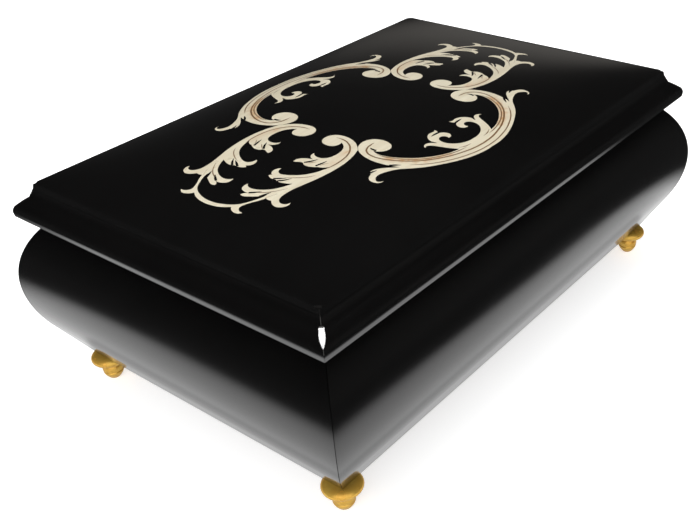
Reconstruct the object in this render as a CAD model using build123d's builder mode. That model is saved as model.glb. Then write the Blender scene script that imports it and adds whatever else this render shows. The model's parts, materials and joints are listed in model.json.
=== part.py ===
from build123d import *
from math import asin, cos, degrees, pi, radians, sin, tan
import os

os.makedirs("parts", exist_ok=True)

# All lengths are in millimetres and all angles in degrees. The origin is on the table under the
# middle of the box. X runs along the box, the hinges are on the +Y side and Z points up.

# Case: clear inside, heights, and the bellied section of its four walls
inner_length = 243.0
inner_width = 147.0
foot_height = 15.3
case_height = 80.7
rim_thickness = 8.0
belly_thickness = 28.5
belly_height = 44.0
lower_arc_radius = 48.7
splay_angle = 33.0
base_thickness = 5.0
rebate_width = 4.2
panel_clearance = 0.2

# Feet, turned from brass
foot_inset = 5.7
foot_pad_radius = 2.6
foot_ball_radius = 5.3
foot_neck_radius = 3.9
foot_neck_height = 8.6
foot_disc_radius = 9.4
foot_disc_thickness = 4.4
foot_collar_radius = 4.8
foot_collar_height = 1.5
stud_radius = 1.5
stud_in_foot = 6.0
stud_in_wall = 9.0

# Lid: a moulded panel under a crowned marquetry sheet
lid_gap = 0.3
lid_thickness = 16.0
field_setback = 14.5
crown_rise = 8.6
crown_shoulder = 1.55
crown_middle = 0.6
veneer_thickness = 0.6
lip_reach = 9.2
lip_roundover = 1.15
ovolo_radius = 7.45
ovolo_angle = 65.0
quirk_drop = 3.7
quirk_ledge = 1.0
mitre_round = 1.2
field_corner_round = 2.0
lid_recess_margin = 3.5
lid_recess_depth = 5.2
lid_lining_thickness = 1.5
mirror_thickness = 3.0
mirror_frame_width = 6.0
mirror_frame_depth = 3.5

# Hinges
hinge_spacing = 160.0
hinge_length = 30.0
hinge_axis_reach = 18.0
leaf_thickness = 1.2
leaf_inset = 2.0
knuckle_radius = 2.2
knuckle_clearance = 0.35
hinge_pin_radius = 0.9
hinge_pin_head = 1.4
hinge_pin_head_thickness = 0.3
running_clearance = 0.05
hinge_screw_spacing = 10.0
hinge_screw_inset = 4.3
hinge_screw_radius = 0.9
hinge_screw_head = 1.7
hinge_screw_length = 9.0

# Base screws
base_screw_radius = 0.9
base_screw_head = 1.7
base_screw_length = 13.0
base_screw_inset = 1.9
base_screws_along = 4
base_screws_across = 2

# Inside of the case
movement_room = 76.5
partition_thickness = 4.0
partition_height = 63.7
lining_thickness = 1.6
lining_height = 66.0
pad_thickness = 3.2
soft_clearance = 0.3
roll_radius = 6.0
roll_count = 4
divider_thickness = 2.4
divider_height = 20.0
cover_thickness = 2.5
ledge_size = 5.0
finger_hole_radius = 7.0

# Musical movement
bedplate_side_gap = 3.5
bedplate_back_gap = 5.5
axis_from_plate_side = 30.0
barrel_from_plate_front = 22.0
rod_from_axis = 18.0
rod_from_plate_back = 4.0
bedplate_length = 126.0
bedplate_width = 68.0
bedplate_thickness = 3.5
bedplate_boss_height = 3.0
bedplate_boss_radius = 4.0
barrel_radius = 18.0
barrel_wall = 1.2
barrel_height = 13.0
barrel_float = 1.0
crown_teeth = 60
crown_mean_radius = 16.5
crown_face_width = 1.6
arbor_radius = 2.5
cylinder_radius = 12.0
cylinder_length = 54.0
cylinder_axle_radius = 1.5
pinion_teeth = 20
cylinder_gear_teeth = 48
governor_pinion_teeth = 12
train_module = 0.45
governor_angle = 205.0
worm_wheel_teeth = 30
worm_module = 0.5
worm_radius = 1.6
worm_height = 9.0
gear_thickness = 2.0
tooth_addendum = 0.7
tooth_dedendum = 0.95
tooth_share = 0.41
flank_angle = 20.0
plate_thickness = 2.5
axle_overhang = 0.8
small_axle_radius = 0.8
fan_radius = 8.0
fan_height = 10.0
fan_thickness = 0.6
comb_teeth = 36
comb_tooth_pitch = 1.4
comb_tooth_width = 1.0
comb_tooth_length = 16.0
comb_tooth_thickness = 0.8
comb_body_width = 8.0
comb_body_thickness = 2.2
tune_pin_radius = 0.25
tune_pin_height = 0.8
tune_pin_gap = 0.15
tune_pins_per_tooth = 4
mainspring_thickness = 0.5
mainspring_step = 0.85
mainspring_half_turns = 15
key_hub_radius = 4.2
key_hub_height = 10.0
key_wing_length = 26.0
key_wing_height = 7.0
key_wing_thickness = 2.2
rod_radius = 1.5
rod_travel = 4.0

# Heights and half sizes that follow from the values above
base_top = foot_height + base_thickness
rim_top = foot_height + case_height
lid_bottom = rim_top + lid_gap
lid_edge_top = lid_bottom + lid_thickness
half_length = inner_length / 2
half_width = inner_width / 2
half_field_length = half_length + field_setback
half_field_width = half_width + field_setback
upper_rise = case_height - belly_height
upper_run = belly_thickness - rim_thickness
upper_arc_radius = (upper_rise**2 + upper_run**2) / (2 * upper_run)
upper_arc_sweep = degrees(asin(upper_rise / upper_arc_radius))
splay_start_height = belly_height - lower_arc_radius * sin(radians(splay_angle))
splay_start_reach = belly_thickness - lower_arc_radius * (1 - cos(radians(splay_angle)))
wall_foot_thickness = splay_start_reach - splay_start_height * tan(radians(splay_angle))


def keep(piece, name):
    piece.label = name
    export_step(piece, f"parts/{name}.step")


def across(y, x=0.0, z=0.0):
    """Plane that faces the front of the box, with X to the right and Z up."""
    return Plane(origin=(x, y, z), x_dir=(1, 0, 0), z_dir=(0, -1, 0))


def upright(x, y, low, high, radius, part_mode=Mode.ADD):
    """Round bar along Z from one height to another, in the open part."""
    with Locations((x, y, (low + high) / 2)):
        Cylinder(radius, high - low, mode=part_mode)


def bar_along_y(x, z, start, end, radius, part_mode=Mode.ADD):
    with Locations(Location((x, (start + end) / 2, z), (90, 0, 0))):
        Cylinder(radius, end - start, mode=part_mode)


def block(x_range, y_range, z_range, part_mode=Mode.ADD):
    size = [r[1] - r[0] for r in (x_range, y_range, z_range)]
    middle = [(r[0] + r[1]) / 2 for r in (x_range, y_range, z_range)]
    with Locations(tuple(middle)):
        Box(*size, mode=part_mode)


# Case walls, mitred at the corners

foot_centres = [
    (sx * (half_length + foot_inset), sy * (half_width + foot_inset)) for sx in (-1, 1) for sy in (-1, 1)
]
along_places = [((i + 0.5) / base_screws_along - 0.5) * inner_length for i in range(base_screws_along)]
across_places = [((i + 0.5) / base_screws_across - 0.5) * inner_width for i in range(base_screws_across)]
long_side_screws = [(x, sy * (half_width + base_screw_inset)) for x in along_places for sy in (-1, 1)]
short_side_screws = [(sx * (half_length + base_screw_inset), y) for y in across_places for sx in (-1, 1)]
base_screw_points = long_side_screws + short_side_screws
hinge_middles = (-hinge_spacing / 2, hinge_spacing / 2)
hinge_axis_y = half_width + hinge_axis_reach
hinge_axis_z = rim_top + lid_gap / 2
leaf_front_y = half_width + leaf_inset
hinge_screw_y = half_width + hinge_screw_inset


def case_wall(outward, half_inner, half_run):
    """One wall of the case: its section swept along the side and cut at 45 degrees at both ends."""
    outward = Vector(*outward, 0)
    along = Vector(-outward.Y, outward.X, 0)
    foot_line = outward * half_inner + Vector(0, 0, foot_height)
    section_plane = Plane(origin=foot_line, x_dir=outward, z_dir=outward.cross(Vector(0, 0, 1)))
    with BuildPart() as wall:
        with BuildSketch(section_plane):
            with BuildLine():
                lower = CenterArc(
                    (belly_thickness - lower_arc_radius, belly_height), lower_arc_radius, -splay_angle, splay_angle
                )
                upper = CenterArc(
                    (belly_thickness - upper_arc_radius, belly_height), upper_arc_radius, 0, upper_arc_sweep
                )
                Polyline(
                    upper @ 1,
                    (0, case_height),
                    (0, base_thickness),
                    (rebate_width, base_thickness),
                    (rebate_width, 0),
                    (wall_foot_thickness, 0),
                    lower @ 0,
                )
            make_face()
        extrude(amount=half_run + belly_thickness, both=True)
        for end in (-1, 1):
            corner = foot_line + along * (end * half_run)
            split(bisect_by=Plane(origin=corner, z_dir=along * end - outward), keep=Keep.BOTTOM)
        for x, y in foot_centres:
            upright(x, y, foot_height, foot_height + stud_in_wall, stud_radius, Mode.SUBTRACT)
        for x, y in base_screw_points:
            upright(x, y, foot_height, foot_height + base_screw_length, base_screw_radius, Mode.SUBTRACT)
    return wall.part


keep(case_wall((0, -1), half_width, half_length), "front_wall")
keep(case_wall((-1, 0), half_length, half_width), "left_wall")
keep(case_wall((1, 0), half_length, half_width), "right_wall")

with BuildPart() as back_wall:
    add(case_wall((0, 1), half_width, half_length))
    for x in hinge_middles:
        block(
            (x - hinge_length / 2, x + hinge_length / 2),
            (leaf_front_y, half_width + belly_thickness),
            (rim_top - leaf_thickness, rim_top + 1),
            Mode.SUBTRACT,
        )
        for step in (-1, 0, 1):
            upright(
                x + step * hinge_screw_spacing,
                hinge_screw_y,
                rim_top - hinge_screw_length,
                rim_top,
                hinge_screw_radius,
                Mode.SUBTRACT,
            )
keep(back_wall.part, "back_wall")

# Base panel, let into the rebate round the foot of the walls

key_hole_radius = 6.0
bedplate_middle_x = -half_length + bedplate_side_gap + bedplate_width / 2
bedplate_middle_y = half_width - bedplate_back_gap - bedplate_length / 2
movement_x = -half_length + bedplate_side_gap + axis_from_plate_side
barrel_y = bedplate_middle_y - bedplate_length / 2 + barrel_from_plate_front
bedplate_screw_points = [
    (bedplate_middle_x + sx * (bedplate_width / 2 - 6), bedplate_middle_y + sy * (bedplate_length / 2 - 6))
    for sx in (-1, 1)
    for sy in (-1, 1)
]
bedplate_bottom = base_top + bedplate_boss_height
bedplate_top = bedplate_bottom + bedplate_thickness
bedplate_screw_radius = 1.5
bedplate_screw_head = 3.0
bedplate_screw_head_height = 2.0

with BuildPart() as base_panel:
    block(
        (-half_length - rebate_width + panel_clearance, half_length + rebate_width - panel_clearance),
        (-half_width - rebate_width + panel_clearance, half_width + rebate_width - panel_clearance),
        (foot_height, base_top),
    )
    upright(movement_x, barrel_y, foot_height, base_top, key_hole_radius, Mode.SUBTRACT)
    for x, y in bedplate_screw_points:
        upright(x, y, foot_height, base_top, bedplate_screw_radius, Mode.SUBTRACT)
        upright(x, y, foot_height, foot_height + bedplate_screw_head_height, bedplate_screw_head, Mode.SUBTRACT)
    for x, y in base_screw_points:
        with Locations(Location((x, y, foot_height), (180, 0, 0))):
            CounterSinkHole(base_screw_radius, base_screw_head, depth=base_thickness)
keep(base_panel.part, "base_panel")

with BuildPart() as base_screws:
    for x, y in base_screw_points:
        head_end = foot_height + base_screw_head - base_screw_radius
        upright(x, y, head_end, foot_height + base_screw_length, base_screw_radius)
        with Locations((x, y, foot_height)):
            Cone(
                base_screw_head,
                base_screw_radius,
                base_screw_head - base_screw_radius,
                align=(Align.CENTER, Align.CENTER, Align.MIN),
            )
keep(base_screws.part, "base_screws")


# Feet and the studs that hold them


def foot(x, y):
    disc_bottom = foot_height - foot_collar_height - foot_disc_thickness
    disc_flat = foot_disc_radius - foot_disc_thickness / 2
    with BuildPart() as turned:
        with BuildSketch(across(y, x)):
            with BuildLine():
                Polyline((0, foot_height), (0, 0), (foot_pad_radius, 0))
                ThreePointArc(
                    (foot_pad_radius, 0),
                    (foot_ball_radius, foot_neck_height * 0.52),
                    (foot_neck_radius, foot_neck_height),
                )
                Polyline(
                    (foot_neck_radius, foot_neck_height), (foot_neck_radius, disc_bottom), (disc_flat, disc_bottom)
                )
                ThreePointArc(
                    (disc_flat, disc_bottom),
                    (foot_disc_radius, disc_bottom + foot_disc_thickness / 2),
                    (disc_flat, disc_bottom + foot_disc_thickness),
                )
                Polyline(
                    (disc_flat, disc_bottom + foot_disc_thickness),
                    (foot_collar_radius, disc_bottom + foot_disc_thickness),
                    (foot_collar_radius, foot_height),
                    (0, foot_height),
                )
            make_face()
        revolve(axis=Axis((x, y, 0), (0, 0, 1)))
        upright(x, y, foot_height - stud_in_foot, foot_height, stud_radius, Mode.SUBTRACT)
    return turned.part


for x, y in foot_centres:
    keep(foot(x, y), f"foot_{'front' if y < 0 else 'back'}_{'left' if x < 0 else 'right'}")

with BuildPart() as foot_studs:
    for x, y in foot_centres:
        upright(x, y, foot_height - stud_in_foot, foot_height + stud_in_wall, stud_radius)
keep(foot_studs.part, "foot_studs")

# Lid panel with its moulded edge


def lid_section(half_field):
    """Half outline of the lid from its middle to the lip, mirrored to the other side."""
    with BuildSketch() as section:
        with BuildLine():
            lip = half_field + lip_reach
            ovolo = CenterArc((lip - ovolo_radius, lip_roundover), ovolo_radius, 0, ovolo_angle)
            ledge_end = (half_field + quirk_ledge, lid_thickness - quirk_drop)
            TangentArc(ovolo @ 1, ledge_end, tangent=ovolo % 1)
            Polyline(
                ledge_end,
                (half_field, lid_thickness - quirk_drop),
                (half_field, lid_thickness - veneer_thickness),
                (0, lid_thickness - veneer_thickness),
                (0, 0),
                (lip - lip_roundover, 0),
            )
            CenterArc((lip - lip_roundover, lip_roundover), lip_roundover, -90, 90)
        make_face()
        mirror(about=Plane.YZ)
    return section.sketch


def crown_face(edge_height):
    """Crowned surface over the lid's field, level at its four straight edges."""
    rise = [0, crown_shoulder, crown_middle, crown_shoulder, 0]
    net = [
        [
            (
                half_field_length * (i / 2 - 1),
                half_field_width * (j / 2 - 1),
                edge_height + crown_rise * rise[i] * rise[j],
            )
            for j in range(5)
        ]
        for i in range(5)
    ]
    return Face.make_bezier_surface(net)


half_recess_length = half_length - lid_recess_margin
half_recess_width = half_width - lid_recess_margin
down = (0, 0, -1)

with BuildPart() as lid_panel:
    with BuildSketch(across(0, 0, lid_bottom)):
        add(lid_section(half_field_length))
    extrude(amount=half_field_width + lip_reach, both=True)
    with BuildSketch(Plane.YZ.shift_origin((0, 0, lid_bottom))):
        add(lid_section(half_field_width))
    extrude(amount=half_field_length + lip_reach, both=True, mode=Mode.INTERSECT)
    fillet(lid_panel.edges().filter_by(GeomType.ELLIPSE), mitre_round)
    extrude(crown_face(lid_edge_top - veneer_thickness), amount=crown_rise + quirk_drop, dir=down)
    fillet(lid_panel.edges().filter_by(Axis.Z).sort_by(Axis.Z)[-4:], field_corner_round)
    block(
        (-half_recess_length, half_recess_length),
        (-half_recess_width, half_recess_width),
        (lid_bottom - 1, lid_bottom + lid_recess_depth),
        Mode.SUBTRACT,
    )
    for x in hinge_middles:
        ends = (x - hinge_length / 2 - knuckle_clearance, x + hinge_length / 2 + knuckle_clearance)
        block(ends, (leaf_front_y, hinge_axis_y), (lid_bottom - 1, lid_bottom + leaf_thickness), Mode.SUBTRACT)
        with Locations(Location((x, hinge_axis_y, hinge_axis_z), (0, 90, 0))):
            Cylinder(knuckle_radius + knuckle_clearance, ends[1] - ends[0], mode=Mode.SUBTRACT)
        for step in (-1, 0, 1):
            upright(
                x + step * hinge_screw_spacing,
                hinge_screw_y,
                lid_bottom,
                lid_bottom + hinge_screw_length,
                hinge_screw_radius,
                Mode.SUBTRACT,
            )
keep(lid_panel.part, "lid_panel")

# Marquetry sheet: scrolls let into a plain ground. The outlines are drawn for the quarter with
# positive X and Y of a field of 272 by 176, one list for each stretch between two sharp points, and
# mirrored to the others.

drawn_field_length = 272.0
drawn_field_width = 176.0

scroll_outline = [
    [(0, 69.6), (10, 69.1), (20, 66.5), (30, 62.1), (37, 57.9), (41.5, 54.1), (45.5, 50.6), (50, 48.3),
     (54.8, 47.3), (57.6, 48.6), (58.6, 50.4), (57.8, 51.7), (56.2, 52.1)],
    [(56.2, 52.1), (58.6, 52.0), (60.1, 49.6), (59.6, 46.8), (57.8, 45.2), (55.8, 44.6)],
    [(55.8, 44.6), (55.0, 43.1), (52.6, 42.7), (49.5, 44.2), (46.2, 47.3), (43.2, 50.4)],
    [(43.2, 50.4), (45.0, 45.5), (46.1, 40), (46.0, 35), (44.9, 30.5), (43.0, 26.6), (39.5, 23.2), (35.5, 21.8),
     (31.8, 22.6), (29.2, 25.2), (28.1, 29.2), (28.8, 33.0), (31.2, 35.8), (34.2, 36.4), (37.0, 35.0),
     (38.7, 31.4)],
    [(38.7, 31.4), (39.9, 34.5), (39.6, 38.5), (37.8, 43.2), (34.6, 48.2), (30, 52.9), (25, 56.3), (19.5, 58.9),
     (12.6, 60.4)],
    [(12.6, 60.4), (15.4, 56.3), (17.5, 51.8), (19.2, 48.7), (20.7, 47.8), (22.3, 48.3)],
    [(22.3, 48.3), (20.9, 46.6), (18.9, 46.3), (17.0, 47.4), (15.6, 49.4)],
    [(15.6, 49.4), (15.7, 46.7), (14.4, 43.7), (12.0, 41.8), (9.3, 41.3), (7.0, 41.6), (5.8, 40.7)],
    [(5.8, 40.7), (6.3, 43.1), (9.6, 44.3)],
    [(9.6, 44.3), (6.4, 44.6), (4.5, 46.6), (4.4, 49.0), (5.9, 50.5), (7.7, 50.5)],
    [(7.7, 50.5), (7.6, 48.5), (9.0, 47.3), (11.0, 47.5), (12.5, 49.4), (12.4, 52.9), (10.0, 56.2), (5.8, 58.6),
     (0, 59.3)],
]
spray_outline = [
    [(42.3, 25.3), (47.6, 27.2), (54, 28.6), (62, 28.9), (70, 28.1), (78, 26.4), (84, 25.0), (88.4, 24.6),
     (91.8, 25.1), (94.0, 26.8), (94.6, 29.0), (93.7, 30.8), (92.0, 31.5)],
    [(92.0, 31.5), (94.6, 32.0), (96.7, 30.5), (97.6, 27.8), (96.7, 25.2), (95.1, 23.2)],
    [(95.1, 23.2), (95.4, 21.6), (94.9, 20.0)],
    [(94.9, 20.0), (99.4, 17.6), (103.3, 15.5), (105.7, 15.1), (107.2, 16.3), (107.8, 19.2)],
    [(107.8, 19.2), (109.3, 17.4), (109.2, 14.6), (107.0, 11.6)],
    [(107.0, 11.6), (109.0, 8.2), (110.1, 4.2), (110.5, 0)],
]
spray_inside = [
    [(108.3, 0), (108.0, 3.8), (106.9, 7.8), (104.8, 12.0), (103.0, 14.0), (99.0, 16.4), (95.6, 18.0),
     (92.6, 18.5)],
    [(92.6, 18.5), (95.2, 16.4), (97.4, 12.9), (98.6, 10.2), (98.4, 8.0)],
    [(98.4, 8.0), (96.6, 8.9), (95.6, 11.2), (94.6, 13.6)],
    [(94.6, 13.6), (95.8, 10.6), (95.7, 7.2), (94.2, 4.7), (92.3, 4.1), (90.6, 4.5)],
    [(90.6, 4.5), (92.2, 6.6), (92.4, 9.6), (91.2, 13.2), (88.6, 16.9), (85.0, 19.6), (80.6, 21.6)],
    [(80.6, 21.6), (82.2, 18.0), (82.6, 15.2), (81.9, 13.0)],
    [(81.9, 13.0), (82.0, 9.8), (80.7, 7.1)],
    [(80.7, 7.1), (79.6, 8.2), (79.3, 9.8)],
    [(79.3, 9.8), (79.0, 7.3), (77.2, 6.1), (74.9, 6.3), (73.4, 7.9)],
    [(73.4, 7.9), (75.8, 8.5), (77.1, 10.2), (76.7, 13.4), (74.4, 17.8), (70.4, 22.0), (65.2, 24.5), (60.9, 25.3)],
    [(60.9, 25.3), (63.1, 23.4), (63.9, 21.0)],
    [(63.9, 21.0), (65.5, 18.2), (66.0, 15.6), (65.4, 13.4)],
    [(65.4, 13.4), (64.6, 12.4), (65.0, 10.4), (65.9, 8.0)],
    [(65.9, 8.0), (63.6, 7.8), (61.4, 9.8), (60.2, 12.8), (59.6, 15.9)],
    [(59.6, 15.9), (59.5, 12.9), (57.8, 10.9), (55.2, 10.6)],
    [(55.2, 10.6), (57.0, 12.9), (57.2, 15.9), (55.9, 18.4), (53.2, 19.8), (49.6, 20.0), (45.8, 19.2),
     (42.7, 17.1), (40.7, 14.0)],
    [(40.7, 14.0), (43.2, 14.3), (45.7, 12.6), (46.3, 9.4), (45.0, 5.9), (41.8, 4.0), (38.0, 4.6), (35.6, 7.4),
     (35.0, 12.2), (36.3, 17.6), (39.2, 22.2), (42.3, 25.3)],
]


def on_field(point):
    """Point of the drawing, stretched to the real field."""
    stretch_x = 2 * half_field_length / drawn_field_length
    stretch_y = 2 * half_field_width / drawn_field_width
    return (point[0] * stretch_x, point[1] * stretch_y)


def quarter(stretches, middle_run):
    """Closed face of one quarter: smooth curves with sharp points, and a straight run on a middle line."""
    with BuildSketch() as shape:
        with BuildLine():
            for stretch in stretches:
                Spline(*[on_field(point) for point in stretch])
            Line(*[on_field(point) for point in middle_run])
        make_face()
    return shape.sketch


with BuildSketch() as right_spray:
    add(quarter(spray_outline + spray_inside, (spray_outline[-1][-1], spray_inside[0][0])))
    mirror(about=Plane.XZ)

with BuildSketch() as back_scroll:
    add(quarter(scroll_outline, (scroll_outline[-1][-1], scroll_outline[0][0])))
    mirror(about=Plane.YZ)
    add(right_spray.sketch, mode=Mode.SUBTRACT)
    add(right_spray.sketch.mirror(Plane.YZ), mode=Mode.SUBTRACT)

ornament = {
    "right_spray_inlay": right_spray.sketch,
    "left_spray_inlay": right_spray.sketch.mirror(Plane.YZ),
    "back_scroll_inlay": back_scroll.sketch,
    "front_scroll_inlay": back_scroll.sketch.mirror(Plane.XZ),
}
below_sheet = lid_edge_top - 2 * veneer_thickness
cut_height = crown_rise + 4 * veneer_thickness

for name, outline in ornament.items():
    with BuildPart() as inlay:
        with BuildSketch(Plane.XY.offset(below_sheet)):
            add(outline)
        extrude(amount=cut_height)
        extrude(crown_face(lid_edge_top), amount=veneer_thickness, dir=down, mode=Mode.INTERSECT)
    keep(inlay.part, name)

with BuildPart() as ground_veneer:
    extrude(crown_face(lid_edge_top), amount=veneer_thickness, dir=down)
    with BuildSketch(Plane.XY.offset(below_sheet)):
        for outline in ornament.values():
            add(outline)
    extrude(amount=cut_height, mode=Mode.SUBTRACT)
    fillet(ground_veneer.edges().filter_by(Axis.Z).group_by(Axis.Z)[0], field_corner_round)
keep(ground_veneer.part, "ground_veneer")

# Underside of the lid: lining board, looking glass and its frame

recess_top = lid_bottom + lid_recess_depth
lining_bottom = recess_top - lid_lining_thickness
half_mirror_length = half_recess_length - mirror_frame_width
half_mirror_width = half_recess_width - mirror_frame_width

with BuildPart() as lid_lining:
    block(
        (-half_recess_length, half_recess_length),
        (-half_recess_width, half_recess_width),
        (lining_bottom, recess_top),
    )
keep(lid_lining.part, "lid_lining")

with BuildPart() as mirror_frame:
    block(
        (-half_recess_length, half_recess_length),
        (-half_recess_width, half_recess_width),
        (lining_bottom - mirror_frame_depth, lining_bottom),
    )
    chamfer(mirror_frame.faces().sort_by(Axis.Z)[0].edges(), 1.2)
    block(
        (-half_mirror_length, half_mirror_length),
        (-half_mirror_width, half_mirror_width),
        (lining_bottom - mirror_frame_depth, lining_bottom),
        Mode.SUBTRACT,
    )
keep(mirror_frame.part, "mirror_frame")

with BuildPart() as lid_mirror:
    block(
        (-half_mirror_length + panel_clearance, half_mirror_length - panel_clearance),
        (-half_mirror_width + panel_clearance, half_mirror_width - panel_clearance),
        (lining_bottom - mirror_thickness, lining_bottom),
    )
    chamfer(lid_mirror.faces().sort_by(Axis.Z)[0].edges(), 1.0)
keep(lid_mirror.part, "lid_mirror")

# Butt hinges, let into the rim and the underside of the lid, pins under the lid's overhang

knuckle_length = hinge_length / 3


def hinge_leaf(x, plate_range, knuckle_steps, other_steps):
    with BuildPart() as leaf:
        block((x - hinge_length / 2, x + hinge_length / 2), (leaf_front_y, hinge_axis_y), plate_range)
        for step in other_steps:
            reach = knuckle_length / 2 + knuckle_clearance
            block(
                (x + step * knuckle_length - reach, x + step * knuckle_length + reach),
                (hinge_axis_y - knuckle_radius - knuckle_clearance, hinge_axis_y + 1),
                (plate_range[0] - 1, plate_range[1] + 1),
                Mode.SUBTRACT,
            )
        for step in knuckle_steps:
            with Locations(Location((x + step * knuckle_length, hinge_axis_y, hinge_axis_z), (0, 90, 0))):
                Cylinder(knuckle_radius, knuckle_length)
        with Locations(Location((x, hinge_axis_y, hinge_axis_z), (0, 90, 0))):
            bore = hinge_pin_radius + (running_clearance if len(knuckle_steps) == 1 else 0)
            Cylinder(bore, hinge_length + 2, mode=Mode.SUBTRACT)
        seat = plate_range[1] if len(knuckle_steps) == 2 else plate_range[0]
        turn = 0 if len(knuckle_steps) == 2 else 180
        for step in (-1, 0, 1):
            with Locations(Location((x + step * hinge_screw_spacing, hinge_screw_y, seat), (turn, 0, 0))):
                CounterSinkHole(hinge_screw_radius, hinge_screw_head, depth=leaf_thickness)
    return leaf.part


for x, side in zip(hinge_middles, ("left", "right")):
    keep(hinge_leaf(x, (rim_top - leaf_thickness, rim_top), (-1, 1), (0,)), f"{side}_hinge_case_leaf")
    keep(hinge_leaf(x, (lid_bottom, lid_bottom + leaf_thickness), (0,), (-1, 1)), f"{side}_hinge_lid_leaf")

with BuildPart() as hinge_pins:
    for x in hinge_middles:
        with Locations(Location((x, hinge_axis_y, hinge_axis_z), (0, 90, 0))):
            Cylinder(hinge_pin_radius, hinge_length)
        for end in (-1, 1):
            reach = end * (hinge_length + hinge_pin_head_thickness) / 2
            with Locations(Location((x + reach, hinge_axis_y, hinge_axis_z), (0, 90, 0))):
                Cylinder(hinge_pin_head, hinge_pin_head_thickness)
keep(hinge_pins.part, "hinge_pins")


def hinge_screws(seat, direction):
    """Countersunk screws of both hinges, driven up or down from the face of the leaf."""
    head_height = hinge_screw_head - hinge_screw_radius
    from_seat = (Align.CENTER, Align.CENTER, Align.MIN)
    with BuildPart() as screws:
        for x in hinge_middles:
            for step in (-1, 0, 1):
                place = Location((x + step * hinge_screw_spacing, hinge_screw_y, seat), (90 - 90 * direction, 0, 0))
                with Locations(place):
                    Cone(hinge_screw_head, hinge_screw_radius, head_height, align=from_seat)
                    Cylinder(hinge_screw_radius, hinge_screw_length, align=from_seat)
    return screws.part


keep(hinge_screws(rim_top, -1), "hinge_case_screws")
keep(hinge_screws(lid_bottom, 1), "hinge_lid_screws")

# Jewellery compartment

left_face = -half_length + movement_room + partition_thickness
lining_top = base_top + lining_height
lined_left = left_face + lining_thickness
lined_right = half_length - lining_thickness
lined_half_width = half_width - lining_thickness
roll_pitch = 2 * roll_radius + soft_clearance
divider_right = lined_right - soft_clearance - roll_count * roll_pitch
divider_left = divider_right - divider_thickness

with BuildPart() as partition:
    block(
        (left_face - partition_thickness, left_face),
        (-half_width, half_width),
        (base_top, base_top + partition_height),
    )
keep(partition.part, "partition")

for sy, name in ((-1, "front_lining"), (1, "back_lining")):
    with BuildPart() as lining:
        edges = sorted((sy * half_width, sy * lined_half_width))
        block((left_face, half_length), edges, (base_top, lining_top))
    keep(lining.part, name)

with BuildPart() as left_lining:
    block((left_face, lined_left), (-lined_half_width, lined_half_width), (base_top, base_top + partition_height))
keep(left_lining.part, "left_lining")

with BuildPart() as right_lining:
    block((lined_right, half_length), (-lined_half_width, lined_half_width), (base_top, lining_top))
keep(right_lining.part, "right_lining")

with BuildPart() as ring_divider:
    block((divider_left, divider_right), (-lined_half_width, lined_half_width), (base_top, base_top + divider_height))
    fillet(ring_divider.faces().sort_by(Axis.Z)[-1].edges().filter_by(Axis.Y), 0.8)
keep(ring_divider.part, "ring_divider")

with BuildPart() as floor_pad:
    block(
        (lined_left + soft_clearance, divider_left - soft_clearance),
        (-lined_half_width + soft_clearance, lined_half_width - soft_clearance),
        (base_top, base_top + pad_thickness),
    )
    fillet(floor_pad.faces().sort_by(Axis.Z)[-1].edges(), 1.4)
keep(floor_pad.part, "floor_pad")

with BuildPart() as ring_rolls:
    roll_half_length = lined_half_width - soft_clearance
    for index in range(roll_count):
        roll_x = divider_right + soft_clearance + roll_radius + index * roll_pitch
        bar_along_y(roll_x, base_top + roll_radius, -roll_half_length, roll_half_length, roll_radius)
    fillet(ring_rolls.edges().filter_by(GeomType.CIRCLE), 2.0)
keep(ring_rolls.part, "ring_rolls")

# Clear cover over the movement, on ledges and on the partition

ledge_top = base_top + partition_height
cover_left = -half_length + panel_clearance
rod_x = movement_x + rod_from_axis
rod_y = half_width - bedplate_back_gap - rod_from_plate_back
rod_hole_radius = 2.3
finger_hole = (left_face - partition_thickness - 12, -half_width + 24)

with BuildPart() as cover_ledges:
    inner_left = -half_length
    block((inner_left, inner_left + ledge_size), (-half_width, half_width), (ledge_top - ledge_size, ledge_top))
    for sy in (-1, 1):
        edges = sorted((sy * half_width, sy * (half_width - ledge_size)))
        block(
            (inner_left + ledge_size + panel_clearance, left_face - partition_thickness),
            edges,
            (ledge_top - ledge_size, ledge_top),
        )
keep(cover_ledges.part, "cover_ledges")

with BuildPart() as movement_cover:
    block(
        (cover_left, left_face),
        (-half_width + panel_clearance, half_width - panel_clearance),
        (ledge_top, ledge_top + cover_thickness),
    )
    upright(rod_x, rod_y, ledge_top, ledge_top + cover_thickness, rod_hole_radius, Mode.SUBTRACT)
    upright(*finger_hole, ledge_top, ledge_top + cover_thickness, finger_hole_radius, Mode.SUBTRACT)
keep(movement_cover.part, "movement_cover")

# Musical movement: bedplate on bosses, screwed from below

crown_module = 2 * crown_mean_radius / crown_teeth
barrel_bottom = bedplate_top + barrel_float
barrel_rim = barrel_bottom + barrel_height
crown_pitch_z = barrel_rim + 1.2
axis_z = crown_pitch_z + crown_module * pinion_teeth / 2
bearing_y = barrel_y + 20.5
cylinder_start = barrel_y + 25.5
cylinder_end = cylinder_start + cylinder_length
train_y = cylinder_end + 1.0
front_plate_y = train_y + gear_thickness + 1.5
worm_wheel_y = front_plate_y + plate_thickness + 3.5
fan_y = worm_wheel_y + gear_thickness / 2
rear_plate_y = fan_y + fan_radius + 0.8
train_distance = train_module * (cylinder_gear_teeth + governor_pinion_teeth) / 2
governor_x = movement_x + train_distance * cos(radians(governor_angle))
governor_z = axis_z + train_distance * sin(radians(governor_angle))
worm_wheel_tip = worm_module * (worm_wheel_teeth / 2 + tooth_addendum)
fan_x = governor_x - worm_wheel_tip - worm_radius - 0.1
fan_bottom = 54.0
fan_top = fan_bottom + fan_height
arm_z = fan_top + 4.0
frame_foot_top = bedplate_top + plate_thickness
bridge_bottom = crown_pitch_z + 1.6
bridge_top = bridge_bottom + plate_thickness
pillar_reach = barrel_radius + 4.0
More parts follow.
